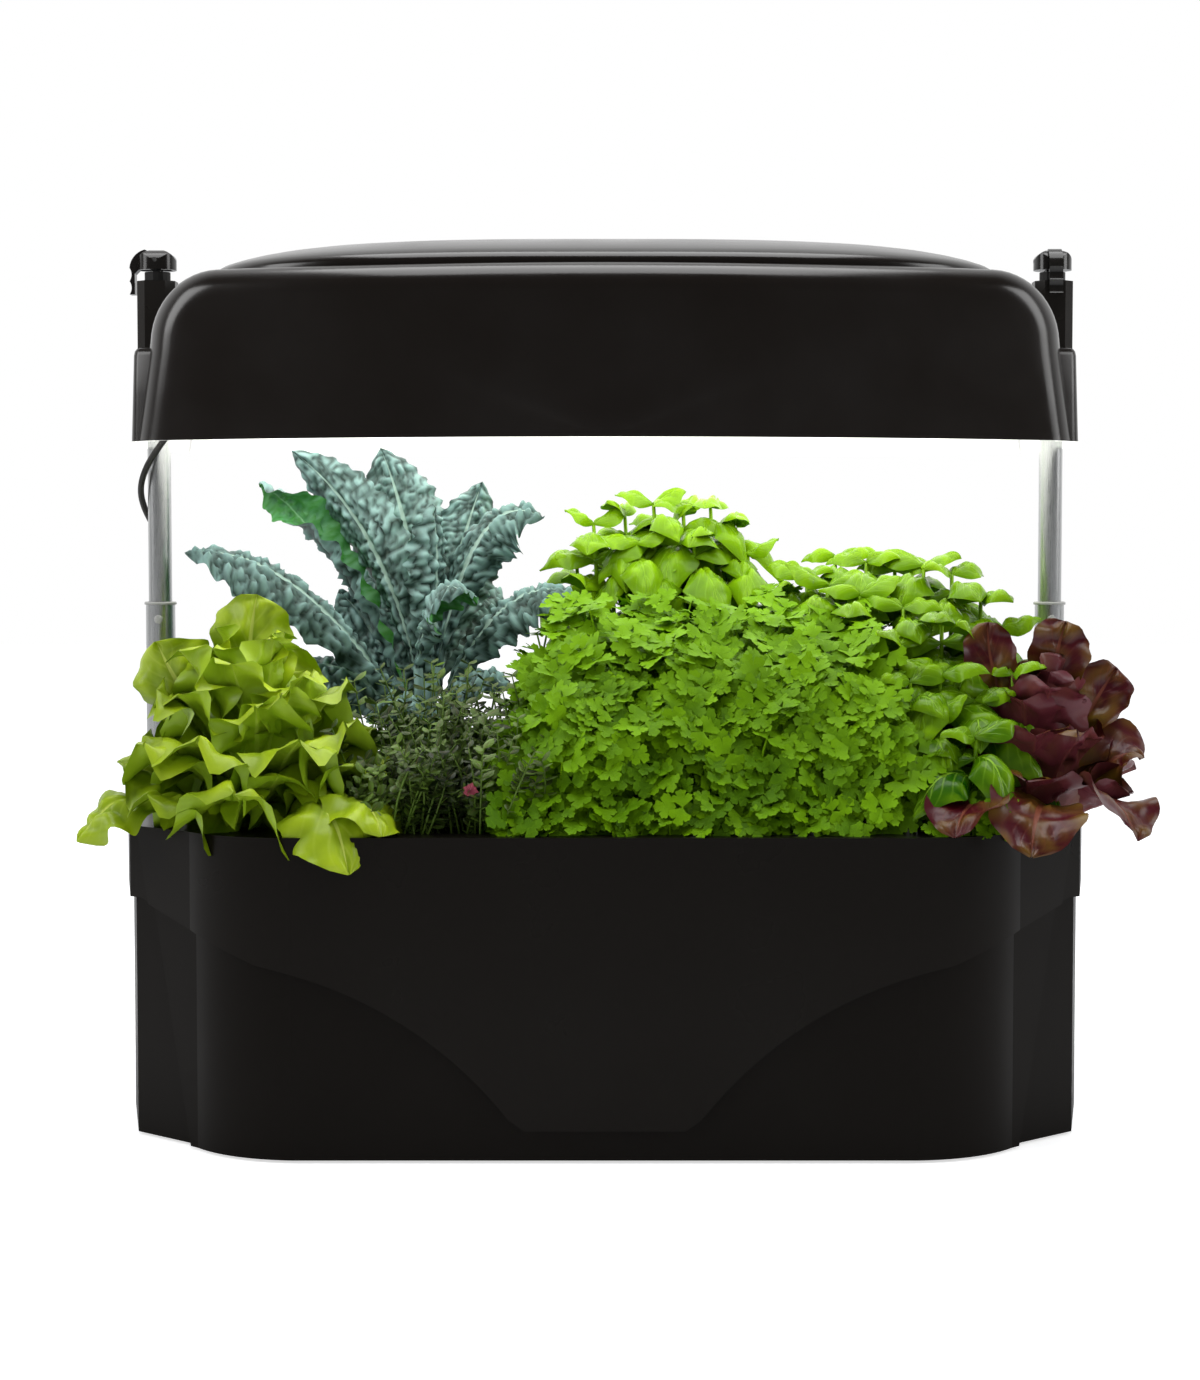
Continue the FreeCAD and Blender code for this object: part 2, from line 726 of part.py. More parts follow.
depth_above = [(FAR, cap_edge), (FAR, cap_top + FAR), (-FAR, cap_top + FAR), (-FAR, cap_edge),
               (-cap_half_depth, cap_edge, -size("cap_side_bend")),
               (ZERO, cap_top, -size("cap_side_bend")), (cap_half_depth, cap_edge)]
pocket(hood_cap, sketch(hood_cap, "cap_sides", "YZ_Plane", loops=[depth_above]), FAR, symmetric=True)
cap_edge_wall = size("cap_edge_wall")
pocket(hood_cap, sketch(hood_cap, "cap_hollow", lift=hood_high, loops=[rectangle(
    cap_edge_wall - cap_corner_x, cap_corner_x - cap_edge_wall,
    cap_edge_wall - cap_corner_y, cap_corner_y - cap_edge_wall)]), size("cap_hollow"), up=True)

# Lamp: a tray under the ribs with three rows of lights, a diffuser across its lip, and the
# power supply on top.
plate = size("tray_plate")
tray_level = size("tray_level")
tray_low = tray_level - size("tray_lip")
tray_length = hood_length - size("tray_in")


def tray_plan(inset):
    """Straight folded edges that keep inside the canopy's bowed walls."""
    end_x = tray_length - inset
    end_y = hood_corner_y + size("tray_end_past") - inset
    bend_x = size("tray_bend_x")
    bend_y = hood_depth - size("tray_back") - inset
    return [(end_x, -end_y), (end_x, end_y), (bend_x, bend_y), (-bend_x, bend_y),
            (-end_x, end_y), (-end_x, -end_y), (-bend_x, -bend_y), (bend_x, -bend_y)]


led_tray = keep(new_body("led_tray"))
pad(led_tray, sketch(led_tray, "tray_outline", lift=tray_low, loops=[tray_plan(ZERO)]),
    size("tray_lip") + plate)
pocket(led_tray, sketch(led_tray, "tray_inside", lift=tray_low, loops=[tray_plan(plate)]),
       size("tray_lip"), up=True)

diffuser = keep(new_body("led_diffuser"))
pad(diffuser, sketch(diffuser, "diffuser_outline", lift=tray_low, loops=[
    tray_plan(plate + size("diffuser_gap"))]), size("diffuser_thick"))

board_rows = [size("board_pitch") * row for row in (-1, 0, 1)]
half_board = size("board_width") / 2
board_length = tray_length - size("board_in")
led_boards = keep(new_body("led_boards"))
pad(led_boards, sketch(led_boards, "board_plans", lift=tray_level, loops=[
    rectangle(-board_length, board_length, y - half_board, y + half_board)
    for y in board_rows]), size("board_thick"), down=True)

leds = keep(new_body("leds"))
half_led = size("led_size") / 2
first_led = -board_length + size("led_end")
led_row = pad(leds, sketch(leds, "led_plans", lift=tray_level - size("board_thick"), loops=[
    rectangle(first_led - half_led, first_led + half_led, y - half_led, y + half_led)
    for y in board_rows]), size("led_thick"), down=True)
repeat(leds, led_row, "LinearPattern", "X_Axis", size("led_count"), Length=-first_led * 2)

led_driver = keep(new_body("led_driver"))
half_driver = size("driver_length") / 2
half_driver_width = size("driver_width") / 2
pad(led_driver, sketch(led_driver, "driver_plan", lift=tray_top, loops=[
    rectangle(-half_driver, half_driver, -half_driver_width, half_driver_width)]), size("driver_height"))

# Bracket towers: eight-sided sleeves that stand on the ledges over the upper tubes. A spigot
# goes down through the ledge to a flange clamped under it, and the clamp head turns on top.
flange_top = ledge - wall
flange_low = flange_top - size("flange_thick")
post_bore = [(ZERO, ZERO, upper_radius + fit)]
half_flange = size("flange_half_depth")
chamfer_from = tower_half - size("tower_corner")
tower_plan = [
    (tower_half, -chamfer_from), (tower_half, chamfer_from), (chamfer_from, tower_half),
    (-chamfer_from, tower_half), (-tower_half, chamfer_from), (-tower_half, -chamfer_from),
    (-chamfer_from, -tower_half), (chamfer_from, -tower_half)]
towers = []
for side, sign, angle in (("left", -1, 180), ("right", 1, 0)):
    tower = new_body(f"tower_{side}")
    pad(tower, sketch(tower, f"tower_flange_{side}", lift=flange_low, loops=[rectangle(
        -size("flange_in"), size("flange_out"), -half_flange, half_flange)], circles=post_bore),
        size("flange_thick"))
    pad(tower, sketch(tower, f"tower_spigot_{side}", lift=flange_top, loops=[rectangle(
        -spigot_half, spigot_half, -spigot_half, spigot_half)], circles=post_bore), wall)
    pad(tower, sketch(tower, f"tower_column_{side}", lift=ledge, loops=[tower_plan],
                      circles=post_bore), tower_top - ledge)
    towers.append(place(tower, post_x * sign, ZERO, ZERO, angle))
keep(fuse("post_brackets", *towers))

# Gland: a stepped rubber sleeve under the left flange, where the cord comes out.
cord_gland = keep(new_body("cord_gland"))
GLAND_RINGS = 4
RING_CORNERS = 8
gland_step = size("gland_length") / GLAND_RINGS
for number in range(GLAND_RINGS):
    ring = many_sided(size("gland_radius") - size("gland_taper") * number, RING_CORNERS)
    pad(cord_gland, sketch(cord_gland, f"gland_ring_{number}", lift=-gland_step * number, loops=[ring]),
        gland_step, down=True)
place(cord_gland, -(post_x - size("gland_inward")), -size("gland_forward"), flange_low)

# Clamps: a cam lever pinned in a domed head pulls up a rod whose wedge spreads the upper tube.
# The head turns on a washer. Heights are measured from the tower's top, and the lever points
# along the head's own +X: outwards on the left, towards the viewer on the right.
rod_way = (ZERO, ZERO, size("rod_hole_radius"))
washer_low = size("turn_gap")
washer_top = washer_low + size("washer_thick")
dome_low = washer_top + size("dome_gap")
dome_radius = size("dome_radius")
skirt_top = dome_low + size("dome_skirt")
dome_top = dome_low + size("dome_height")
shoulder_height = dome_top - size("dome_shoulder_drop")
cam_radius = size("cam_radius")
pivot = washer_top + size("cam_gap") + cam_radius + size("cam_down")
pin_hole = size("pin_radius") + size("hinge_gap")
rod_radius = size("rod_radius")
half_eye = size("rod_eye_half")
reach = size("lever_reach")
wedge_low = upper_low - tower_top - size("wedge_below")
half_slot = size("slot_width") / 2
beyond = dome_radius * 2
half_fork = size("fork_width") / 2
WASHER_CORNERS = 16
WEDGE_CORNERS = 8


def clamp_piece(name, side, sign, angle):
    """A body on a post's axis, its zero height at the tower's top and turned as its clamp is."""
    return keep(place(new_body(f"{name}_{side}"), post_x * sign, ZERO, tower_top, angle))


for side, sign, angle in (("left", -1, 180), ("right", 1, -90)):
    washer = clamp_piece("thrust_washer", side, sign, angle)
    pad(washer, sketch(washer, f"washer_ring_{side}", lift=washer_low,
                       loops=[many_sided(size("washer_radius"), WASHER_CORNERS)],
                       circles=[rod_way]), size("washer_thick"))

    dome = clamp_piece("clamp_dome", side, sign, angle)
    pad(dome, sketch(dome, f"dome_circle_{side}", lift=dome_low, circles=[(ZERO, ZERO, dome_radius)]),
        size("dome_height"))
    edge_x = dome_radius + size("dome_edge_out")
    edge_height = skirt_top - size("dome_edge_out")
    shoulder_x = size("dome_shoulder")
    bend = -size("dome_bend")
    above = [(beyond, edge_height), (beyond, dome_top + beyond), (-beyond, dome_top + beyond),
             (-beyond, edge_height), (-edge_x, edge_height, -size("dome_edge")),
             (-shoulder_x, shoulder_height, bend), (ZERO, dome_top, bend),
             (shoulder_x, shoulder_height, -size("dome_edge")), (edge_x, edge_height)]
    for role in ("XZ_Plane", "YZ_Plane"):
        pocket(dome, sketch(dome, f"dome_{role[:2]}_crown_{side}", role, loops=[above]),
               beyond, symmetric=True)
    pocket(dome, sketch(dome, f"dome_slot_{side}", lift=dome_top, loops=[rectangle(
        -size("slot_back"), beyond, -half_slot, half_slot)]), size("dome_height") * 2)
    pocket(dome, sketch(dome, f"dome_pin_hole_{side}", "XZ_Plane", circles=[(ZERO, pivot, pin_hole)]),
           beyond, symmetric=True)

    pin = clamp_piece("clamp_pin", side, sign, angle)
    pad(pin, sketch(pin, f"pin_circle_{side}", "XZ_Plane", circles=[(ZERO, pivot, size("pin_radius"))]),
        size("pin_length"), symmetric=True)

    rod = clamp_piece("clamp_rod", side, sign, angle)
    pad(rod, sketch(rod, f"rod_wedge_{side}", lift=wedge_low, loops=[
        many_sided(size("wedge_radius"), WEDGE_CORNERS)]), size("wedge_height"), taper=-size("wedge_angle"))
    pad(rod, sketch(rod, f"rod_shank_{side}", lift=wedge_low, circles=[
        (ZERO, ZERO, rod_radius)]), pivot - half_eye - wedge_low)
    pad(rod, sketch(rod, f"rod_eye_{side}", "XZ_Plane", loops=[
        rectangle(-half_eye, half_eye, pivot - half_eye, pivot + half_eye)]),
        size("rod_eye_width"), symmetric=True)
    pocket(rod, sketch(rod, f"rod_eye_hole_{side}", "XZ_Plane", circles=[(ZERO, pivot, pin_hole)]),
           beyond, symmetric=True)

    lever = clamp_piece("clamp_lever", side, sign, angle)
    pad(lever, sketch(lever, f"lever_cam_{side}", "XZ_Plane", circles=[
        (size("cam_out"), pivot - size("cam_down"), cam_radius)]), size("lever_width"), symmetric=True)
    inner = reach - size("lever_thick")
    tip = pivot - size("lever_drop")
    grips = [(reach, tip + size("grip_pitch") * number, -size("grip_bend")) for number in (0, 1)]
    pad(lever, sketch(lever, f"lever_arm_{side}", "XZ_Plane", loops=[[
        (ZERO, pivot - cam_radius / 2), (inner - cam_radius, pivot - size("lever_neck")),
        (inner, pivot - cam_radius - size("lever_neck")), (inner, tip)] + grips + [
        (reach, tip + size("grip_pitch") * 2, size("lever_shoulder")),
        (size("lever_crest_x"), pivot + size("lever_top")), (ZERO, pivot + cam_radius / 2)]]),
        size("lever_width"), symmetric=True)
    pocket(lever, sketch(lever, f"lever_pin_hole_{side}", "XZ_Plane", circles=[(ZERO, pivot, pin_hole)]),
           beyond, symmetric=True)
    pocket(lever, sketch(lever, f"lever_fork_{side}", lift=dome_top + wall, loops=[rectangle(
        -cam_radius * 2, size("fork_depth"), -half_fork, half_fork)]), size("lever_drop") * 2)

# Cord: leaves the hood inside its left end, hangs down behind the post, lies over the planter's
# back edge and drops to the floor. The rest of its length is coiled close behind the bed.
cord_radius = size("cord_radius").number
CORD_LIE = 2.4
HANGING = [
    (-291.0, -15.0, 484.9), (-291.0, -15.0, 468.0), (-303.9, -13.3, 452.0), (-314.1, -11.3, 437.0),
    (-319.9, -2.6, 422.0), (-317.8, 7.6, 407.0), (-308.5, 14.2, 390.0), (-304.5, 18.0, 318.0),
    (-304.5, 23.0, 289.0), (-303.0, 40.0, 262.0), (-299.5, 66.0, 240.0), (-290.0, 124.0, 206.9),
    (-287.0, 139.0, 206.9)]
DROPPING = [
    (-287.0, 139.0, 206.9), (-283.0, 159.0, 206.9), (-283.4, 174.5, 190.0), (-272.0, 174.0, 40.0),
    (-268.0, 176.0, 20.0),
    (-257.0, 188.0, CORD_LIE), (-236.0, 209.0, CORD_LIE), (-218.7, 222.0, CORD_LIE),
    (-212.2, 240.0, CORD_LIE)]
BEND_SHARE = 0.45


def bent_run(points):
    """Straight runs joined by tangent arcs that take the same share of the shorter run."""
    points = [Vector(*point) for point in points]
    edges = []
    radii = []
    start = points[0]
    for before, corner, after in zip(points, points[1:], points[2:]):
        into = (corner - before).normalize()
        onward = (after - corner).normalize()
        half_turn = into.getAngle(onward) / 2
        tangent = BEND_SHARE * min((corner - before).Length, (after - corner).Length)
        radius = tangent / math.tan(half_turn)
        inwards = (onward - into).normalize()
        middle = corner + inwards * (radius / math.cos(half_turn) - radius)
        arc_start = corner - into * tangent
        arc_end = corner + onward * tangent
        edges.append(Part.makeLine(start, arc_start))
        edges.append(Part.Arc(arc_start, middle, arc_end).toShape())
        radii.append(radius)
        start = arc_end
    edges.append(Part.makeLine(start, points[-1]))
    return edges, radii


def arc_along(start, heading, end):
    """The arc that leaves `start` along `heading` and reaches `end`, and its heading there."""
    chord = end - start
    turn_angle = heading.getAngle(chord)
    side = (chord - heading * chord.dot(heading)).normalize()
    radius = chord.Length / (2 * math.sin(turn_angle))
    middle = start + heading * (radius * math.sin(turn_angle)) + side * (radius * (1 - math.cos(turn_angle)))
    leaving = heading * math.cos(2 * turn_angle) + side * math.sin(2 * turn_angle)
    return Part.Arc(start, middle, end).toShape(), leaving


def tube(label, edges):
    """A cord of six flats along a chain of edges."""
    start = edges[0].valueAt(edges[0].FirstParameter)
    heading = edges[0].tangentAt(edges[0].FirstParameter)
    across = heading.cross(Vector(0, 1, 0)).normalize()
    upward = heading.cross(across)
    ring = [start + across * (cord_radius * math.cos(math.radians(60 * corner)))
            + upward * (cord_radius * math.sin(math.radians(60 * corner))) for corner in range(7)]
    shape = Part.Wire(edges).makePipeShell([Part.makePolygon(ring)], True, False)
    feature = doc.addObject("Part::Feature", label)
    feature.Shape = shape if shape.ShapeType == "Solid" else Part.Solid(shape)
    feature.Label = label
    return keep(feature)


hanging_edges, hanging_radii = bent_run(HANGING)
tube("power_cord", hanging_edges)

# The coil starts along +Y, winds inwards in half turns, climbs by one half turn and winds out
# again above, then leaves along +X for the plug.
coil_pitch = 2 * cord_radius + size("coil_gap").number
coil_x = size("coil_x").number
coil_y = size("coil_y").number
HALF_TURNS = 3
turn_radii = [size("coil_outer_radius").number - coil_pitch / 2 * number for number in range(HALF_TURNS)]
coil_start = Vector(coil_x - turn_radii[0], coil_y, CORD_LIE)
dropping_edges, dropping_radii = bent_run(DROPPING + [tuple(coil_start)])
coil_edges = []


def half_turn(start, facing, radius):
    """A level half turn that leaves along facing Y, clockwise seen from above."""
    end = start + Vector(2 * radius * facing, 0, 0)
    middle = (start + end) * 0.5 + Vector(0, radius * facing, 0)
    coil_edges.append(Part.Arc(start, middle, end).toShape())
    return end, -facing


here = coil_start
facing = 1
for radius in turn_radii:
    here, facing = half_turn(here, facing, radius)

# Climb: a level quarter turn well inside the others, then two arcs up to the second layer.
climb_radius = turn_radii[-1] - coil_pitch
slant = math.sqrt(0.5) * climb_radius
centre = here + Vector(climb_radius * facing, 0, 0)
crest = centre + Vector(0, climb_radius * facing, 0)
coil_edges.append(Part.Arc(here, centre + Vector(-slant * facing, slant * facing, 0), crest).toShape())
end = centre + Vector(climb_radius * facing, 0, coil_pitch)
heading = Vector(facing, 0, 0)
final = Vector(0, -facing, 0)
span = end - crest
both = heading + final
share = 2 * (1 - heading.dot(final))
reach_out = (-span.dot(both) + math.sqrt(span.dot(both) ** 2 + share * span.dot(span))) / share
joint = ((crest + heading * reach_out) + (end - final * reach_out)) * 0.5
for start, stop in ((crest, joint), (joint, end)):
    arc, heading = arc_along(start, heading, stop)
    coil_edges.append(arc)
here = end
facing = -facing
for radius in [climb_radius] + turn_radii[::-1]:
    here, facing = half_turn(here, facing, radius)
quarter = turn_radii[0] + coil_pitch / 2
centre = here + Vector(quarter, 0, 0)
slant = math.sqrt(0.5) * quarter
end = centre + Vector(0, quarter, 0)
coil_edges.append(Part.Arc(here, centre + Vector(-slant, slant, 0), end).toShape())
plug_entry = end + Vector(size("plug_tail").number, 0, 0)
coil_edges.append(Part.makeLine(end, plug_entry))
tube("cord_coil", dropping_edges + coil_edges)

# Plug: a plain two-pin plug on the floor beside the coil, level with the cord's end.
plug = keep(new_body("power_plug"))
neck = size("plug_neck")
neck_half = size("plug_neck_half")
half_width = size("plug_width") / 2
plug_half_height = size("plug_height") / 2
pad(plug, sketch(plug, "plug_plan", lift=-plug_half_height, loops=[[
    (neck, -neck_half), (neck + size("plug_length"), -half_width),
    (neck + size("plug_length"), half_width), (neck, neck_half)]]), plug_half_height * 2)
pad(plug, sketch(plug, "plug_neck_plan", lift=-neck_half, loops=[
    rectangle(ZERO, neck, -neck_half, neck_half)]), neck_half * 2)
pin_far = neck + size("plug_length") + size("plug_pin_length")
half_pin = size("plug_pin_thick") / 2
pin_half_pitch = size("plug_pin_pitch") / 2
pad(plug, sketch(plug, "plug_pin_plans", lift=-size("plug_pin_width") / 2, loops=[
    rectangle(neck, pin_far, pin_half_pitch * side - half_pin, pin_half_pitch * side + half_pin)
    for side in (-1, 1)]), size("plug_pin_width"))
place(plug, plug_entry.x, plug_entry.y, plug_entry.z)


APART_IN_DIAMETERS = 6
MEASURED_EVERY = 2.0


def least_gap(edges):
    """Least gap between stretches of a cord that lie well apart along it."""
    points = []
    along = []
    run = 0.0
    for edge in edges:
        count = max(2, int(edge.Length / MEASURED_EVERY))
        first, last = edge.FirstParameter, edge.LastParameter
        for number in range(count):
            points.append(edge.valueAt(first + (last - first) * number / count))
            along.append(run + edge.Length * number / count)
        run += edge.Length
    apart = APART_IN_DIAMETERS * 2 * cord_radius
    gaps = [(points[low] - points[high]).Length
            for low in range(len(points)) for high in range(low + 1, len(points))
            if along[high] - along[low] > apart]
    return min(gaps) - 2 * cord_radius


print("Bend radii of the hanging cord:", [round(radius, 1) for radius in hanging_radii])
print("Bend radii of the dropping cord:", [round(radius, 1) for radius in dropping_radii])
print("Least gap of the coil to itself:", round(least_gap(dropping_edges + coil_edges), 2))
print("Cord length:", round(sum(edge.Length for edge in hanging_edges + dropping_edges + coil_edges)))

# Every feature is sound and every piece is a valid solid before it is written out.
doc.recompute()
for thing in doc.Objects:
    if "Invalid" in thing.State or "Error" in thing.State:
        raise RuntimeError(f"{thing.Label} did not compute: {thing.State}")
for thing in kept:
    if thing.Shape.isNull() or not thing.Shape.isValid() or not thing.Shape.Solids:
        raise RuntimeError(f"{thing.Label} is not a valid solid")
    thing.Shape.exportStep(f"parts/{thing.Label}.step")
    print(thing.Label, len(thing.Shape.Solids), round(thing.Shape.Volume))
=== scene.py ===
import math
import random

import bpy
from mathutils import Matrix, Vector, noise


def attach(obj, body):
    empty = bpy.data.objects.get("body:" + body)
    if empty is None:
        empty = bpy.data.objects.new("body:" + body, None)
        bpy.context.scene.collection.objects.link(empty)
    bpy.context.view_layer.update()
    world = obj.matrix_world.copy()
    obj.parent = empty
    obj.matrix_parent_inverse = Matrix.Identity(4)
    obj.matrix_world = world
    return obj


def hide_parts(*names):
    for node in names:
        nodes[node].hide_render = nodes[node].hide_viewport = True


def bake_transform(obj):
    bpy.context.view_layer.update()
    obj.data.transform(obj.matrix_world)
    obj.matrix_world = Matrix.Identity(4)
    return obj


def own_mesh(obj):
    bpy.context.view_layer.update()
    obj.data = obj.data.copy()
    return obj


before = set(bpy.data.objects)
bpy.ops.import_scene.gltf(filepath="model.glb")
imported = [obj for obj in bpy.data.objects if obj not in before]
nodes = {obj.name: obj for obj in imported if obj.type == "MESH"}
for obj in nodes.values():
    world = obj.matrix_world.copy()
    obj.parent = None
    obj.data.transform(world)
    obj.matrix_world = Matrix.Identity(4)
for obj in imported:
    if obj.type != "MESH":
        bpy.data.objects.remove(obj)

scene = bpy.context.scene
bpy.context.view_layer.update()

# Studio: the bed stands on a seamless white floor before a white backdrop that shows in gloss too.
# The side of the studio in front of the bed is dimmer. Two soft lamps stand at the sides and one
# hangs overhead.
scene.view_settings.view_transform = "Standard"
WHITE = (1.0, 1.0, 1.0, 1.0)
ROOM_LIGHT = 0.5
DIM_SIDE = -0.1
BRIGHT_SIDE = 0.55
DIM_WHITE = 0.05


def put(tree, kind, **settings):
    """A node of this kind with its plain properties set."""
    node = tree.nodes.new(kind)
    for name, value in settings.items():
        setattr(node, name, value)
    return node


def feed(tree, source, target):
    """Link a socket to another, or write a number or colour into it."""
    if isinstance(source, bpy.types.NodeSocket):
        tree.links.new(source, target)
    else:
        target.default_value = source


def maths(tree, operation, *values, clamp=False):
    """One step of arithmetic on sockets or numbers."""
    node = put(tree, "ShaderNodeMath", operation=operation, use_clamp=clamp)
    for value, socket in zip(values, node.inputs):
        feed(tree, value, socket)
    return node.outputs[0]


def seen_white(tree, in_gloss):
    """How bright the white is and where it shows: fully to the camera and through glass, and in
    gloss by this much."""
    path = put(tree, "ShaderNodeLightPath").outputs
    direct = maths(tree, "MAXIMUM", path["Is Camera Ray"], path["Is Transmission Ray"])
    mirrored = maths(tree, "MULTIPLY", path["Is Glossy Ray"], in_gloss)
    return maths(tree, "MAXIMUM", direct, mirrored), maths(tree, "MAXIMUM", direct, path["Is Glossy Ray"])


def fill(node, **values):
    """Write numbers and colours into a node's inputs."""
    for label, value in values.items():
        node.inputs[label.replace("_", " ")].default_value = value


def mapped(tree, value, from_low, from_high, to_low, to_high):
    """A number carried from one range to another and kept inside it."""
    node = put(tree, "ShaderNodeMapRange", interpolation_type="SMOOTHSTEP")
    for socket, number in zip(node.inputs, (value, from_low, from_high, to_low, to_high)):
        feed(tree, number, socket)
    return node.outputs[0]


world = bpy.data.worlds.new("studio")
scene.world = world
world.use_nodes = True
tree = world.node_tree
tree.nodes.clear()
room = put(tree, "ShaderNodeBackground")
fill(room, Color=(0.95, 0.97, 1.0, 1.0), Strength=ROOM_LIGHT)
plain = put(tree, "ShaderNodeBackground")
fill(plain, Color=WHITE)
compass = put(tree, "ShaderNodeSeparateXYZ")
feed(tree, put(tree, "ShaderNodeTexCoord").outputs["Generated"], compass.inputs[0])
backdrop = mapped(tree, compass.outputs[1], DIM_SIDE, BRIGHT_SIDE, DIM_WHITE, 1.0)
strength, seen = seen_white(tree, backdrop)
feed(tree, strength, plain.inputs["Strength"])
mix = put(tree, "ShaderNodeMixShader")
feed(tree, seen, mix.inputs[0])
feed(tree, room.outputs[0], mix.inputs[1])
feed(tree, plain.outputs[0], mix.inputs[2])
feed(tree, mix.outputs[0], put(tree, "ShaderNodeOutputWorld").inputs[0])

# Camera: a long lens 1.9 m in front of the bed, as high as the plants' tops, tilted down a little.
FRAME_HEIGHT = 1380.0
FOCAL_PIXELS = 2750.0
SHIFTED_PIXELS = -5.0
CAMERA_PLACE = (0.0, -1.897, 0.390)
CAMERA_TILT = 3.2
camera_data = bpy.data.cameras.new("camera")
camera = bpy.data.objects.new("camera", camera_data)
scene.collection.objects.link(camera)
scene.camera = camera
camera_data.sensor_fit = "VERTICAL"
camera_data.sensor_height = 36.0
camera_data.lens = FOCAL_PIXELS / FRAME_HEIGHT * camera_data.sensor_height
camera_data.shift_x = SHIFTED_PIXELS / FRAME_HEIGHT
camera_data.clip_start = 0.05
camera_data.clip_end = 60.0
camera.location = CAMERA_PLACE
camera.rotation_euler = (math.radians(90.0 - CAMERA_TILT), 0.0, 0.0)


def sheet_mesh(name, points, faces, smooth=True):
    """A new object made from points in metres and the faces between them."""
    mesh = bpy.data.meshes.new(name)
    mesh.from_pydata(points, [], faces)
    mesh.validate()
    mesh.shade_smooth() if smooth else mesh.shade_flat()
    piece = bpy.data.objects.new(name, mesh)
    scene.collection.objects.link(piece)
    return piece


def new_material(name):
    """A new material with its node tree and its shader."""
    material = bpy.data.materials.new(name)
    material.use_nodes = True
    return material, material.node_tree, material.node_tree.nodes["Principled BSDF"]


# Floor: a plain matt sheet that glows white to the camera, so that it runs into the backdrop.
FLOOR_HALF = 8.0
FLOOR_GLOW = 0.66
FLOOR_IN_GLOSS = 0.1
floor = sheet_mesh("floor", [(x * FLOOR_HALF, y * FLOOR_HALF, 0.0)
                             for x, y in ((-1, -1), (1, -1), (1, 1), (-1, 1))],
                   [(0, 1, 2, 3)], smooth=False)
floor_paint, tree, shader = new_material("studio_floor")
fill(shader, Base_Color=(0.82, 0.82, 0.82, 1.0), Roughness=0.9, Specular_IOR_Level=0.1,
     Emission_Color=WHITE)
glow = maths(tree, "MULTIPLY", seen_white(tree, FLOOR_IN_GLOSS)[0], FLOOR_GLOW)
feed(tree, glow, shader.inputs["Emission Strength"])
floor.data.materials.append(floor_paint)


def soft_lamp(name, place, aim, width, height, watts):
    """A rectangular lamp at a place in metres, turned to its aim."""
    light = bpy.data.lights.new(name, "AREA")
    light.shape = "RECTANGLE"
    light.size = width
    light.size_y = height
    light.energy = watts
    lamp = bpy.data.objects.new(name, light)
    scene.collection.objects.link(lamp)
    lamp.location = place
    lamp.rotation_euler = (Vector(aim) - Vector(place)).to_track_quat("-Z", "Y").to_euler()


soft_lamp("left_side", (-2.3, -0.6, 1.3), (0.0, 0.0, 0.25), width=0.9, height=1.2, watts=17.0)
soft_lamp("right_side", (2.3, -0.5, 1.2), (0.0, 0.0, 0.25), width=0.9, height=1.2, watts=15.0)
soft_lamp("overhead", (0.0, -0.1, 2.2), (0.0, 0.0, 0.3), width=1.6, height=1.5, watts=34.0)

# Lamp cord: black round rubber cable. It leaves the hood through its gland, hangs behind the left
# post and over the planter's rim, and the spare length is wound into a coil behind the bed.
MM = 0.001
CORD_DIAMETER = 4.4
HANGING = [
    (-291.0, -15.0, 484.9), (-291.0, -15.0, 468.0), (-303.9, -13.3, 452.0), (-314.1, -11.3, 437.0),
    (-319.9, -2.6, 422.0), (-317.8, 7.6, 407.0), (-308.5, 14.2, 390.0), (-304.5, 18.0, 318.0),
    (-304.5, 23.0, 289.0), (-303.0, 40.0, 262.0), (-299.5, 66.0, 240.0), (-290.0, 124.0, 206.9),
    (-287.0, 139.0, 206.9)]
DROPPING = [
    (-283.0, 159.0, 206.9), (-283.4, 174.5, 190.0), (-272.0, 174.0, 40.0), (-268.0, 176.0, 20.0),
    (-257.0, 188.0, 2.4), (-236.0, 209.0, 2.4), (-218.7, 222.0, 2.4), (-212.2, 240.0, 2.4)]
COIL_X = -178.2
COIL_Y = 254.0
COIL_PITCH = 4.9
COIL_RADII = [34.0, 31.55, 29.1]
HALF_TURN_POINTS = 8
FLOOR_LAYER = 2.4
UPPER_LAYER = 7.3
PLUG_TAIL = 28.0


def half_turn(points, start, facing, radius, low, high):
    """Half a turn of the coil, clockwise seen from above, that rises in its second quarter."""
    spread = radius / math.cos(math.pi / 2 / HALF_TURN_POINTS)
    for number in range(HALF_TURN_POINTS):
        turned = math.pi * (number + 0.5) / HALF_TURN_POINTS
        risen = min(1.0, max(0.0, turned / math.pi * 2 - 1.0))
        points.append((start + facing * (radius - spread * math.cos(turned)),
                       COIL_Y + facing * spread * math.sin(turned),
                       low + (high - low) * risen * risen * (3 - 2 * risen)))
    return start + 2 * radius * facing, -facing


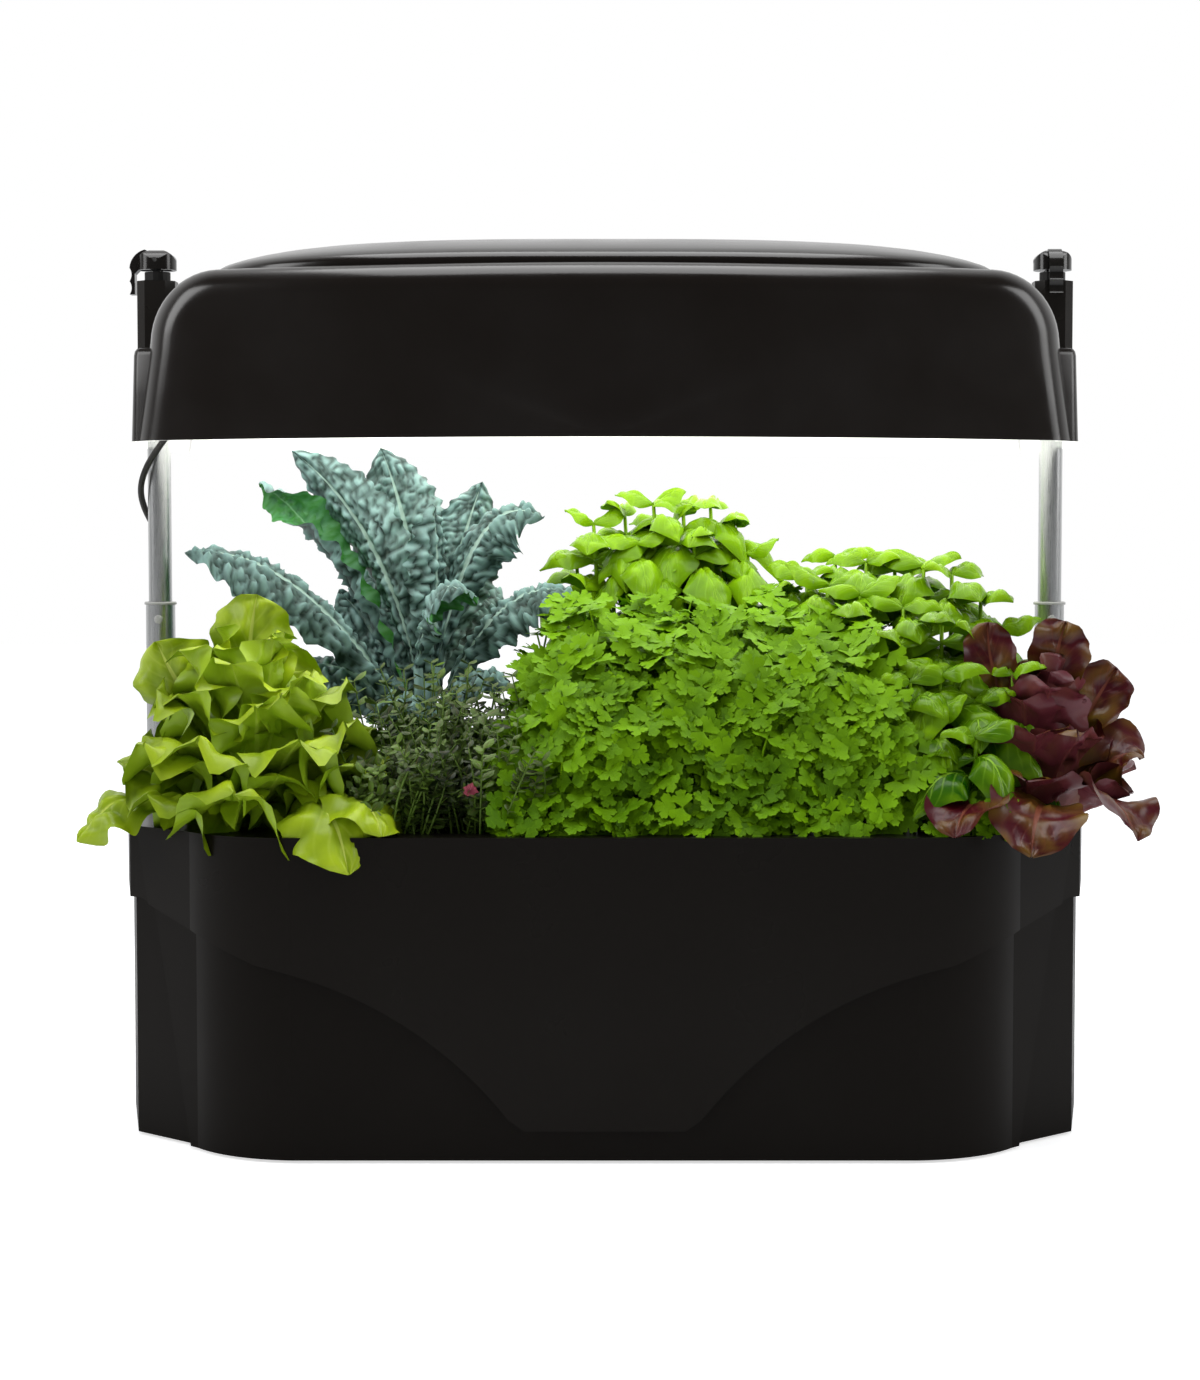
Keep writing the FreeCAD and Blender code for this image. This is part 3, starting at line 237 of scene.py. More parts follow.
coil = []
here, facing = COIL_X - COIL_RADII[0], 1
climb = COIL_RADII[-1] - COIL_PITCH
for radius in COIL_RADII:
    here, facing = half_turn(coil, here, facing, radius, FLOOR_LAYER, FLOOR_LAYER)
here, facing = half_turn(coil, here, facing, climb, FLOOR_LAYER, UPPER_LAYER)
for radius in [climb] + COIL_RADII[::-1]:
    here, facing = half_turn(coil, here, facing, radius, UPPER_LAYER, UPPER_LAYER)
quarter = COIL_RADII[0] + COIL_PITCH / 2
leaving = [(here, COIL_Y + 0.4 * quarter, UPPER_LAYER),
           (here + 0.13 * quarter, COIL_Y + 0.8 * quarter, UPPER_LAYER),
           (here + 0.55 * quarter, COIL_Y + quarter, UPPER_LAYER),
           (here + quarter, COIL_Y + quarter, UPPER_LAYER),
           (here + quarter + PLUG_TAIL, COIL_Y + quarter, UPPER_LAYER)]

cord_curve = bpy.data.curves.new("lamp_cord", "CURVE")
cord_curve.dimensions = "3D"
spline = cord_curve.splines.new("NURBS")
route = HANGING + DROPPING + coil + leaving
spline.points.add(len(route) - 1)
for point, place in zip(spline.points, route):
    point.co = (place[0] * MM, place[1] * MM, place[2] * MM, 1.0)
spline.order_u = 3
spline.use_endpoint_u = True
spline.resolution_u = 6
cord_line = bpy.data.objects.new("lamp_cord_line", cord_curve)
cord_path = [tuple(point.co) for point in bpy.data.meshes.new_from_object(cord_line).vertices]
cord_curve.bevel_depth = CORD_DIAMETER / 2 * MM
cord_curve.bevel_resolution = 3
cord_curve.use_fill_caps = True
lamp_cord = bpy.data.objects.new("lamp_cord", bpy.data.meshes.new_from_object(cord_line))
scene.collection.objects.link(lamp_cord)
bpy.data.objects.remove(cord_line)


def effect(name, inputs, outputs):
    """An empty shader node group: its inputs as (name, kind, value), its outputs as (name, kind)."""
    group = bpy.data.node_groups.new(name, "ShaderNodeTree")
    for label, kind, value in inputs:
        socket = group.interface.new_socket(name=label, in_out="INPUT", socket_type=f"NodeSocket{kind}")
        socket.default_value = value
    for label, kind in outputs:
        group.interface.new_socket(name=label, in_out="OUTPUT", socket_type=f"NodeSocket{kind}")
    return group, put(group, "NodeGroupInput").outputs, put(group, "NodeGroupOutput").inputs


def speckle(tree, scale, detail=2.0):
    """Cloudy noise that is fixed to the piece, from 0 to 1."""
    place = put(tree, "ShaderNodeTexCoord")
    cloud = put(tree, "ShaderNodeTexNoise")
    feed(tree, place.outputs["Object"], cloud.inputs["Vector"])
    feed(tree, scale, cloud.inputs["Scale"])
    feed(tree, detail, cloud.inputs["Detail"])
    return cloud.outputs["Fac"]


def blend(tree, share, first, second):
    """A colour between two others."""
    mixer = put(tree, "ShaderNodeMix", data_type="RGBA")
    feed(tree, share, mixer.inputs[0])
    feed(tree, first, mixer.inputs[6])
    feed(tree, second, mixer.inputs[7])
    return mixer.outputs[2]


# Moulded grain: the fine spark-eroded texture of moulded plastic and rubber. The colour is a
# little cloudy, and the gloss changes where the moulding has been handled or dusted.
UNEVEN_GLOSS = 0.22
DUST_GREY = (0.16, 0.15, 0.14, 1.0)
GRAIN_RELIEF = 0.00005
moulded_grain, given, out = effect(
    "moulded_grain",
    [("Colour", "Color", WHITE), ("Dust", "Float", 0.1), ("Gloss", "Float", 0.35),
     ("Grain Size", "Float", 900.0), ("Grain Depth", "Float", 0.3)],
    [("Colour", "Color"), ("Roughness", "Float"), ("Height", "Float")])
cloud = speckle(moulded_grain, scale=14.0, detail=4.0)
dusted = maths(moulded_grain, "MULTIPLY", cloud, given["Dust"])
feed(moulded_grain, blend(moulded_grain, dusted, given["Colour"], DUST_GREY), out["Colour"])
uneven = maths(moulded_grain, "MULTIPLY_ADD", cloud, UNEVEN_GLOSS, -UNEVEN_GLOSS / 2)
feed(moulded_grain, maths(moulded_grain, "ADD", given["Gloss"], uneven, clamp=True), out["Roughness"])
grain = speckle(moulded_grain, given["Grain Size"], detail=1.0)
feed(moulded_grain, maths(moulded_grain, "MULTIPLY", grain, given["Grain Depth"]), out["Height"])


def shade(red, green, blue):
    """A colour as seen on a screen, from 0 to 255, as the shader wants it."""
    parts = [value / 255 for value in (red, green, blue)]
    return tuple(part / 12.92 if part <= 0.04045 else ((part + 0.055) / 1.055) ** 2.4
                 for part in parts) + (1.0,)


def raise_surface(tree, shader, height, distance):
    """Give the surface this relief, its full height in metres."""
    bump = put(tree, "ShaderNodeBump")
    fill(bump, Strength=1.0, Distance=distance)
    feed(tree, height, bump.inputs["Height"])
    feed(tree, bump.outputs["Normal"], shader.inputs["Normal"])


def moulding(name, colour, gloss, specular, dust=0.1, grain_size=900.0, grain_depth=0.3):
    """Moulded plastic or rubber of one colour, gloss being its roughness."""
    material, tree, shader = new_material(name)
    group = put(tree, "ShaderNodeGroup", node_tree=moulded_grain)
    fill(group, Colour=colour, Dust=dust, Gloss=gloss, Grain_Size=grain_size, Grain_Depth=grain_depth)
    feed(tree, group.outputs["Colour"], shader.inputs["Base Color"])
    feed(tree, group.outputs["Roughness"], shader.inputs["Roughness"])
    fill(shader, Specular_IOR_Level=specular)
    raise_surface(tree, shader, group.outputs["Height"], GRAIN_RELIEF)
    return material


cord_rubber = moulding("cord_rubber", shade(24, 23, 22), 0.42, 0.3, dust=0.15)
lamp_cord.data.materials.append(cord_rubber)
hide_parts("power_cord", "cord_coil")
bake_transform(lamp_cord)


# Edges of all the pieces that come from the solids: a modifier shades their curved walls smoothly
# and keeps the edges that turn by more than 33 degrees crisp.
SHARP_ANGLE = math.radians(33.0)
ROUNDED_ANGLE = math.radians(40.0)
soft_curves = bpy.data.node_groups.new("soft_curves", "GeometryNodeTree")
for way in ("INPUT", "OUTPUT"):
    soft_curves.interface.new_socket(name="Geometry", in_out=way, socket_type="NodeSocketGeometry")
bare = put(soft_curves, "NodeGroupInput")
done = put(soft_curves, "NodeGroupOutput")
all_smooth = put(soft_curves, "GeometryNodeSetShadeSmooth", domain="FACE")
creases = put(soft_curves, "GeometryNodeSetShadeSmooth", domain="EDGE")
angle = put(soft_curves, "GeometryNodeInputMeshEdgeAngle")
feed(soft_curves, bare.outputs[0], all_smooth.inputs["Geometry"])
feed(soft_curves, all_smooth.outputs[0], creases.inputs["Geometry"])
feed(soft_curves, maths(soft_curves, "GREATER_THAN", angle.outputs[0], SHARP_ANGLE),
     creases.inputs["Selection"])
fill(creases, Shade_Smooth=False)
feed(soft_curves, creases.outputs[0], done.inputs[0])


def finish(piece, material, rounding=0.0):
    """Dress a piece in its material, round its edges and shade it as curved walls."""
    piece.data.materials.clear()
    piece.data.materials.append(material)
    if rounding:
        bevel = piece.modifiers.new("edge_rounding", "BEVEL")
        bevel.width = rounding * MM
        bevel.segments = 2
        bevel.limit_method = "ANGLE"
        bevel.angle_limit = ROUNDED_ANGLE
    curves = piece.modifiers.new("soft_curves", "NODES")
    curves.node_group = soft_curves


# Plug: a plain two-pin plug with nickel-plated pins, dressed all over in a rubber like the cord's.
finish(nodes["power_plug"], moulding("plug_rubber", shade(26, 25, 24), 0.45, 0.3, dust=0.12),
       rounding=0.8)

# Base tub: the water reservoir, one injection moulding in black plastic with a satin face. It
# stands on rubber pads and carries the planter on its top edge.
finish(nodes["base_tub"], moulding("tub_black", shade(17, 14, 11), 0.36, 0.07, dust=0.0))
finish(nodes["base_feet"], moulding("foot_rubber", shade(30, 29, 28), 0.6, 0.3, dust=0.3))

# Planter tub: the inner moulding in the same black plastic, a little glossier. Its rim and its
# shields hang over the base tub, and the basin inside holds the soil.
finish(nodes["planter_tub"], moulding("planter_black", shade(19, 16, 13), 0.3, 0.09, dust=0.0))

# Wick baskets: slotted cups of plain black plastic that carry soil down into the water.
basket_black = moulding("basket_black", shade(38, 37, 36), 0.5, 0.3, dust=0.2)
for side in ("left", "right"):
    finish(nodes[f"wick_basket_{side}"], basket_black)

# Posts: round aluminium tubes. The lower pair stands in the planter's ends and the upper pair,
# which carries the hood, slides inside them.
STREAKED_GLOSS = 0.3
BRUSH_RELIEF = 0.00001
STROKE_GREY = (0.25, 0.25, 0.24, 1.0)
brushed_tube, given, out = effect(
    "brushed_tube", [("Colour", "Color", WHITE), ("Gloss", "Float", 0.3)],
    [("Colour", "Color"), ("Roughness", "Float"), ("Height", "Float")])
place = put(brushed_tube, "ShaderNodeTexCoord")
stretch = put(brushed_tube, "ShaderNodeMapping")
fill(stretch, Scale=(900.0, 900.0, 12.0))
feed(brushed_tube, place.outputs["Object"], stretch.inputs["Vector"])
strokes = put(brushed_tube, "ShaderNodeTexNoise")
feed(brushed_tube, stretch.outputs[0], strokes.inputs["Vector"])
feed(brushed_tube, 3.0, strokes.inputs["Detail"])
feed(brushed_tube, blend(brushed_tube, maths(brushed_tube, "MULTIPLY", strokes.outputs["Fac"], 0.22),
                         given["Colour"], STROKE_GREY), out["Colour"])
streaked = maths(brushed_tube, "MULTIPLY_ADD", strokes.outputs["Fac"], STREAKED_GLOSS, -STREAKED_GLOSS / 2)
feed(brushed_tube, maths(brushed_tube, "ADD", given["Gloss"], streaked, clamp=True), out["Roughness"])
feed(brushed_tube, strokes.outputs["Fac"], out["Height"])


def metal(name, colour, gloss):
    """Drawn or turned metal, its marks running along the part."""
    material, tree, shader = new_material(name)
    group = put(tree, "ShaderNodeGroup", node_tree=brushed_tube)
    fill(group, Colour=colour, Gloss=gloss)
    feed(tree, group.outputs["Colour"], shader.inputs["Base Color"])
    feed(tree, group.outputs["Roughness"], shader.inputs["Roughness"])
    fill(shader, Metallic=1.0)
    raise_surface(tree, shader, group.outputs["Height"], BRUSH_RELIEF)
    return material


post_aluminium = metal("post_aluminium", (0.58, 0.59, 0.59, 1.0), gloss=0.3)
for side in ("left", "right"):
    finish(nodes[f"lower_post_{side}"], post_aluminium)
    finish(nodes[f"upper_post_{side}"], post_aluminium)

# Guide bushes: grey plastic sleeves pressed into the top of the lower tubes. Each has a flange
# on the tube's end and a snap nub that shows through a hole in the tube.
POST_X = 306.5
BUSH_LOW = 300.0
BUSH_TOP = 345.0
TUBE_TOP = 343.0
TUBE_RADIUS = 10.0
TUBE_BORE = TUBE_RADIUS - 1.2
SLIDING_RADIUS = 8.15
ROUND_STEPS = 40
NUB_HEIGHT = 333.0
NUB_RADIUS = 2.95
NUB_STEPS = 20
NUB_PROFILE = ((NUB_RADIUS, -0.6), (NUB_RADIUS, 0.5), (2.6, 0.9), (1.6, 1.15), (0.5, 1.2))
NUB_WRAP = 0.35


def circle(steps):
    """Directions at even steps round a circle."""
    return [(math.cos(math.tau * step / steps), math.sin(math.tau * step / steps)) for step in range(steps)]


def add_ring(points, faces, ring, closed=True):
    """Join a new ring of points to the last one, which has as many."""
    count = len(ring)
    start = len(points)
    points.extend(ring)
    if start >= count:
        for number in range(count if closed else count - 1):
            following = (number + 1) % count
            faces.append((start - count + number, start - count + following,
                          start + following, start + number))


def close_ends(points, faces, count):
    """Faces over the first ring and the last one, which have this many points."""
    faces.append(tuple(range(count - 1, -1, -1)))
    faces.append(tuple(range(len(points) - count, len(points))))


def add_part(points, faces, own, walls):
    """Add a part's own points and walls to its piece."""
    start = len(points)
    points.extend(own)
    faces.extend(tuple(start + corner for corner in face) for face in walls)


def turned_sleeve(points, faces, centre, profile):
    """A closed ring turned about a vertical axis, its profile as (radius, height)."""
    own, walls = [], []
    for radius, height in profile + profile[:1]:
        add_ring(own, walls, [((centre + radius * x) * MM, radius * y * MM, height * MM)
                              for x, y in circle(ROUND_STEPS)])
    last = len(own) - ROUND_STEPS
    add_part(points, faces, own[:last], [tuple(corner % last for corner in face) for face in walls])


def snap_nub(points, faces, centre):
    """A low dome on the tube's front that follows the tube's curve."""
    own, walls = [], []
    for radius, out_by in NUB_PROFILE:
        add_ring(own, walls, [
            ((centre + radius * x) * MM,
             (-TUBE_RADIUS - out_by + NUB_WRAP * (radius / NUB_RADIUS) ** 2 * x ** 2) * MM,
             (NUB_HEIGHT + radius * y) * MM) for x, y in circle(NUB_STEPS)])
    close_ends(own, walls, NUB_STEPS)
    add_part(points, faces, own, walls)


sleeve = [(TUBE_BORE, BUSH_LOW), (TUBE_BORE, TUBE_TOP), (10.7, TUBE_TOP), (11.0, 343.3), (11.0, 344.4),
          (10.4, BUSH_TOP), (SLIDING_RADIUS + 0.4, BUSH_TOP), (SLIDING_RADIUS, 344.6),
          (SLIDING_RADIUS, BUSH_LOW)]
points, faces = [], []
for side in (-1, 1):
    turned_sleeve(points, faces, side * POST_X, sleeve)
    snap_nub(points, faces, side * POST_X)
bush_sleeves = sheet_mesh("bush_sleeves", points, faces)
finish(bush_sleeves, moulding("bush_grey", shade(168, 168, 166), 0.4, 0.4, dust=0.1, grain_depth=0.2))
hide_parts("guide_bushes")
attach(bush_sleeves, "root")

# Hood canopy: one black gloss injection moulding, open below, with a bowed front and back, rounded
# shoulders and a white inner face, which glows as painted light from the lamp. The ends step down to ledges
# for the bracket towers.
HOOD_LOW = 451.0
HOOD_HIGH = 559.0
HOOD_FRONT = 205.0
BOW_RADIUS = 645.0
SHOULDER = 46.0
FOOT_X = 302.0
SHOULDER_X = 292.0
EDGE_ROUNDING = 17.0
HOOD_WALL = 2.4
END_LEVELS = (0.0, 0.08, 0.3, 0.6, 0.93)
SHOULDER_STEPS = 12
CREASE_STEPS = 10
ROOF_STEPS = 6
FACE_RINGS = (0.06, 0.18, 0.32, 0.46, 0.6, 0.74, 0.86, 0.94, 0.985, 1.0)


def bow(x):
    """How far the bowed front stands out here."""
    return HOOD_FRONT - BOW_RADIUS + math.sqrt(BOW_RADIUS * BOW_RADIUS - x * x)


def half_outline():
    """Right half of the hood seen from the front: points with their outward directions."""
    wall_height = HOOD_HIGH - SHOULDER - HOOD_LOW
    lean = math.atan2(FOOT_X - SHOULDER_X, wall_height)
    side = (math.cos(lean), math.sin(lean))
    places = [(FOOT_X + (SHOULDER_X - FOOT_X) * share, HOOD_LOW + wall_height * share, side)
              for share in END_LEVELS]
    for step in range(SHOULDER_STEPS + 1):
        turned = lean + (math.pi / 2 - lean) * step / SHOULDER_STEPS
        out = (math.cos(turned), math.sin(turned))
        places.append((SHOULDER_X - SHOULDER + SHOULDER * out[0],
                       HOOD_HIGH - SHOULDER + SHOULDER * out[1], out))
    for step in range(1, SHOULDER_STEPS + 1):
        places.append(((SHOULDER_X - SHOULDER) * (1 - step / SHOULDER_STEPS), HOOD_HIGH, (0.0, 1.0)))
    return places


def strip(x, z, out, share):
    """Where one of the section's points lies: from the face's centre over the edge to the roof."""
    if share <= 1.0:
        across = (x - out[0] * EDGE_ROUNDING) * share
        return across, bow(across), HOOD_LOW + (z - out[1] * EDGE_ROUNDING - HOOD_LOW) * share
    turned = (share - 1.0) * math.pi / 2
    depth = EDGE_ROUNDING * (1 - math.sin(turned))
    across = x - out[0] * depth
    return across, bow(across) - EDGE_ROUNDING * (1 - math.cos(turned)), z - out[1] * depth


right_half = half_outline()
outline = right_half + [(-x, z, (-out[0], out[1])) for x, z, out in reversed(right_half[:-1])]
shares = list(FACE_RINGS) + [1.0 + step / CREASE_STEPS for step in range(1, CREASE_STEPS + 1)]
rows = [[strip(x, z, out, share) for x, z, out in outline] for share in shares]
ring = rows[-1]
for step in range(1, ROOF_STEPS):
    rows.append([(x, y * (1 - 2 * step / ROOF_STEPS), z) for x, y, z in ring])
for row in reversed(rows[:len(shares)]):
    rows.append([(x, -y, z) for x, y, z in row])
rows = [[(x * MM, -y * MM, max(z, HOOD_LOW) * MM) for x, y, z in row] for row in rows]
# Under each ledge the end wall is left out, so the lower post and its bush can come up inside.
END_QUADS = len(END_LEVELS) - 1
points, faces = [], []
for number, row in enumerate(rows):
    earlier = len(faces)
    add_ring(points, faces, row, closed=False)
    if len(shares) <= number < len(shares) + ROOF_STEPS:
        faces = faces[:earlier] + faces[earlier + END_QUADS:-END_QUADS]
close_ends(points, faces, len(outline))
canopy = sheet_mesh("hood_canopy", points, [face[::-1] for face in faces])

# Hood ledges: part of the same moulding as the canopy. They step out under its ends, and the
# bracket towers stand on them.
LEDGE_TOP = 511.0
LEDGE_INNER_X = 285.0
LEDGE_PLAN = [(290.0, -128.0), (304.5, -121.0), (321.5, -22.0),
              (321.5, 22.0), (304.5, 121.0), (290.0, 128.0)]
LEDGE_ROUNDING = [0.0, 9.0, 30.0, 30.0, 9.0, 0.0]
LEDGE_LEVELS = [(0.0, HOOD_LOW), (0.1, HOOD_LOW + 3), (1.0, 481.0), (1.8, 506.0), (2.4, 508.8),
                (3.8, 510.5), (6.0, LEDGE_TOP)]


def rounded_path(corners, radii, steps=6):
    """An open path with its corners rounded off, as points with their outward directions."""
    path = []
    for number, (corner, radius) in enumerate(zip(corners, radii)):
        here = Vector(corner)
        if not radius:
            other = Vector(corners[1] if number == 0 else corners[-2])
            along = (other - here if number == 0 else here - other).normalized()
            path.append((here, Vector((along.y, -along.x))))
            continue
        before = (here - Vector(corners[number - 1])).normalized()
        after = (Vector(corners[number + 1]) - here).normalized()
        turn = before.angle(after)
        start = here - before * radius * math.tan(turn / 2)
        centre = start + Vector((-before.y, before.x)) * radius
        for step in range(steps + 1):
            swung = turn * step / steps
            out = Vector((before.y, -before.x))
            out = Vector((out.x * math.cos(swung) - out.y * math.sin(swung),
                          out.x * math.sin(swung) + out.y * math.cos(swung)))
            path.append((centre + out * radius, out))
    return path


def end_ledge(points, faces, side):
    """The ledge's wall with a rounded top edge, and its flat top running in under the canopy."""
    path = rounded_path(LEDGE_PLAN, LEDGE_ROUNDING)
    own, walls = [], []
    for inset, level in LEDGE_LEVELS:
        add_ring(own, walls, [((spot.x - out.x * inset) * side * MM, (spot.y - out.y * inset) * MM,
                               level * MM) for spot, out in path], closed=False)
    add_ring(own, walls, [(LEDGE_INNER_X * side * MM, y, LEDGE_TOP * MM)
                          for x, y, z in own[-len(path):]], closed=False)
    add_part(points, faces, own, [face[::side] for face in walls])


points, faces = [], []
for side in (-1, 1):
    end_ledge(points, faces, side)
ledges = sheet_mesh("hood_ledges", points, faces)

gloss_black = moulding("hood_black", shade(24, 20, 17), 0.2, 0.5, dust=0.0, grain_size=500.0,
                       grain_depth=0.12)


def glowing(name, colour, strength):
    """A surface that glows, a little brighter in some places than others: the lamp's own diodes and frosted
    sheet, or painted light on white faces that the lamp would light.
    """
    material = moulding(name, colour, 0.45, 0.5, dust=0.0)
    tree = material.node_tree
    shader = tree.nodes["Principled BSDF"]
    feed(tree, blend(tree, speckle(tree, 30.0), colour, WHITE), shader.inputs["Emission Color"])
    fill(shader, Emission_Strength=strength)
    return material


# Painted light: the white inner face and the rims of the hood glow as if the lamp lit them.
hood_lining_painted_glow = glowing("hood_lining_painted_glow", shade(240, 240, 236), strength=0.7)
for piece in (canopy, ledges):
    piece.data.materials.append(gloss_black)
    piece.data.materials.append(hood_lining_painted_glow)
    wall = piece.modifiers.new("wall", "SOLIDIFY")
    wall.thickness = HOOD_WALL * MM
    wall.offset = -1.0
    wall.material_offset = 1
    wall.material_offset_rim = 1
    curves = piece.modifiers.new("soft_curves", "NODES")
    curves.node_group = soft_curves
    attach(piece, "hood")
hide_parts("hood_shell")

# Hood cap: a low domed lid in the same black plastic, snapped over the driver on the canopy's roof.
CAP_RINGS = [
    (258.0, 178.0, 557.0), (264.0, 184.0, 559.2), (264.0, 184.0, 561.5), (262.4, 182.6, 564.2),
    (258.0, 179.0, 566.8), (250.0, 172.0, 569.6), (240.0, 163.0, 572.4), (227.0, 152.5, 575.2),
    (210.0, 140.0, 577.8), (190.0, 126.0, 579.8), (165.0, 108.0, 581.4), (130.0, 85.0, 582.8),
    (90.0, 60.0, 583.6), (45.0, 30.0, 583.9)]
CAP_STEPS = 96
CAP_SQUARENESS = 2.9


def cap_ring(half_x, half_y, level):
    """A rounded rectangle that bows on all four sides."""
    ring = []
    for direction in circle(CAP_STEPS):
        x, y = (math.copysign(abs(part) ** (2 / CAP_SQUARENESS), part) for part in direction)
        ring.append((half_x * x * MM, half_y * y * MM, level * MM))
    return ring


points, faces = [], []
for half_x, half_y, level in CAP_RINGS:
    add_ring(points, faces, cap_ring(half_x, half_y, level))
close_ends(points, faces, CAP_STEPS)
cap = sheet_mesh("cap_lid", points, faces)
finish(cap, gloss_black)
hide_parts("hood_cap")
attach(cap, "hood")

# Bracket towers and gland: eight-sided black sleeves that stand on the ledges over the upper
# tubes, and a stepped rubber gland for the cord under the left one.
finish(nodes["post_brackets"], moulding("bracket_black", shade(26, 23, 20), 0.28, 0.2, dust=0.05),
       rounding=0.5)
finish(nodes["cord_gland"], cord_rubber, rounding=0.25)

# Lamp: a white painted tray holds three boards of light-emitting diodes behind a frosted sheet,
# and its driver is a closed box on top, out of sight under the cap.
# Painted light: the white tray glows as if the lamp lit it.
finish(nodes["led_tray"], glowing("tray_white_painted_glow", shade(240, 240, 236), strength=0.7))
finish(nodes["led_boards"], moulding("board_white", shade(238, 240, 236), 0.35, 0.5, dust=0.02))
finish(nodes["led_driver"], moulding("driver_grey", shade(70, 71, 72), 0.5, 0.4, dust=0.2), rounding=0.6)
finish(nodes["leds"], glowing("led_phosphor", (1.0, 0.86, 0.55, 1.0), strength=4.0))
finish(nodes["led_diffuser"], glowing("frosted_sheet", (1.0, 0.97, 0.9, 1.0), strength=2.2))

# Post clamps: on each upper tube a dome turns on a washer. The lever's cam pulls the rod up, and
# its wedge spreads the slit tube against the lower one. Black gloss plastic, steel pin and rod.
clamp_black = moulding("clamp_black", shade(24, 22, 20), 0.16, 0.45, dust=0.02, grain_size=400.0,
                       grain_depth=0.1)
washer_black = moulding("washer_black", shade(34, 33, 32), 0.5, 0.3, dust=0.05)
turned_steel = metal("turned_steel", (0.5, 0.5, 0.49, 1.0), gloss=0.28)
for side in ("left", "right"):
    finish(nodes[f"thrust_washer_{side}"], washer_black, rounding=0.3)
    for part in ("dome", "lever"):
        finish(nodes[f"clamp_{part}_{side}"], clamp_black, rounding=0.9)
    for part in ("pin", "rod"):
        finish(nodes[f"clamp_{part}_{side}"], turned_steel)

# Soil: dark, crumbly potting soil heaped a little towards the middle of the planter's basin.
SOIL_FRONT = [(-281.0, -112.0), (-200.0, -168.0), (-110.0, -184.0), (0.0, -188.0), (110.0, -184.0),
              (200.0, -168.0), (281.0, -112.0)]
SOIL_PLAN = SOIL_FRONT + [(-x, -y) for x, y in SOIL_FRONT]
SOIL_LEVEL = 188.0
SOIL_HEAP = 7.0
SOIL_FLOOR = 70.0
SOIL_TAPER = 0.985
SOIL_HEART = 0.02
SOIL_RINGS = 26
SOIL_EDGE_STEPS = 12


def soil_ring(share):
    """One ring of the soil's surface, from the middle at 0 to the basin's wall at 1."""
    ring = []
    for number, corner in enumerate(SOIL_PLAN):
        following = SOIL_PLAN[(number + 1) % len(SOIL_PLAN)]
        for step in range(SOIL_EDGE_STEPS):
            along = step / SOIL_EDGE_STEPS
            x = (corner[0] + (following[0] - corner[0]) * along) * share
            y = (corner[1] + (following[1] - corner[1]) * along) * share
            lumps = noise.noise(Vector((x, y, 3.0)) / 9.0) * 3.0
            crumbs = noise.noise(Vector((x, y, 9.0)) / 3.5) * 1.6
            level = SOIL_LEVEL + lumps + crumbs + SOIL_HEAP * (1 - share * share)
            ring.append((x * MM, y * MM, level * MM))
    return ring


points, faces = [], []
for step in range(SOIL_RINGS):
    add_ring(points, faces, soil_ring(SOIL_HEART + (1 - SOIL_HEART) * step / (SOIL_RINGS - 1)))
around = len(SOIL_PLAN) * SOIL_EDGE_STEPS
add_ring(points, faces, [(x * SOIL_TAPER, y * SOIL_TAPER, SOIL_FLOOR * MM) for x, y, z in points[-around:]])
close_ends(points, faces, around)
soil = sheet_mesh("potting_soil", points, faces, smooth=False)
soil.data.materials.append(moulding("potting_soil", shade(30, 21, 14), 0.95, 0.0, dust=0.06,
                                    grain_size=420.0, grain_depth=1.0))
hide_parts("soil_bed")
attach(soil, "root")

# Kale: a crown of long blistered leaves with frilled edges at the back left, blue-green above, bright green
# below, with pale midribs.
LEAF_MARKS = "leaf"

# Leaf tissue: midrib and side veins from the marks along and across each leaf, and a colour
# that goes from deep to light with the third mark and in soft patches.
leaf_tissue, given, out = effect(
    "leaf_tissue",
    [("Light", "Color", WHITE), ("Deep", "Color", WHITE), ("Vein", "Color", WHITE),
     ("Rib Width", "Float", 0.1), ("Side Veins", "Float", 9.0), ("Slant", "Float", 0.35),
     ("Vein Strength", "Float", 0.8), ("Patches", "Float", 0.5), ("Patch Size", "Float", 60.0)],
    [("Colour", "Color"), ("Height", "Float"), ("Veins", "Float")])
marks = put(leaf_tissue, "ShaderNodeAttribute", attribute_name=LEAF_MARKS)
parts = put(leaf_tissue, "ShaderNodeSeparateXYZ")
feed(leaf_tissue, marks.outputs["Vector"], parts.inputs[0])
along, across, tone = parts.outputs
narrowing = maths(leaf_tissue, "SUBTRACT", 1.15, along)
rib_width = maths(leaf_tissue, "MULTIPLY", given["Rib Width"], narrowing)
rib = mapped(leaf_tissue, maths(leaf_tissue, "DIVIDE", across, rib_width), 0.55, 1.1, 1.0, 0.0)
run = maths(leaf_tissue, "SUBTRACT", along, maths(leaf_tissue, "MULTIPLY", across, given["Slant"]))
wave = maths(leaf_tissue, "PINGPONG", maths(leaf_tissue, "MULTIPLY", run, given["Side Veins"]), 0.5)
fading = maths(leaf_tissue, "SUBTRACT", 1.0, across)
fading = maths(leaf_tissue, "MULTIPLY", fading, given["Vein Strength"])
side_vein = maths(leaf_tissue, "MULTIPLY", mapped(leaf_tissue, wave, 0.02, 0.16, 1.0, 0.0), fading)
veins = maths(leaf_tissue, "MAXIMUM", rib, side_vein)
patch = maths(leaf_tissue, "SUBTRACT", speckle(leaf_tissue, given["Patch Size"], detail=3.0), 0.5)
patch = maths(leaf_tissue, "MULTIPLY", patch, given["Patches"])
lightness = maths(leaf_tissue, "ADD", tone, patch, clamp=True)
tissue = blend(leaf_tissue, lightness, given["Deep"], given["Light"])
pale = maths(leaf_tissue, "MULTIPLY", veins, 0.8)
feed(leaf_tissue, blend(leaf_tissue, pale, tissue, given["Vein"]), out["Colour"])
feed(leaf_tissue, maths(leaf_tissue, "SUBTRACT", 1.0, veins), out["Height"])
feed(leaf_tissue, veins, out["Veins"])


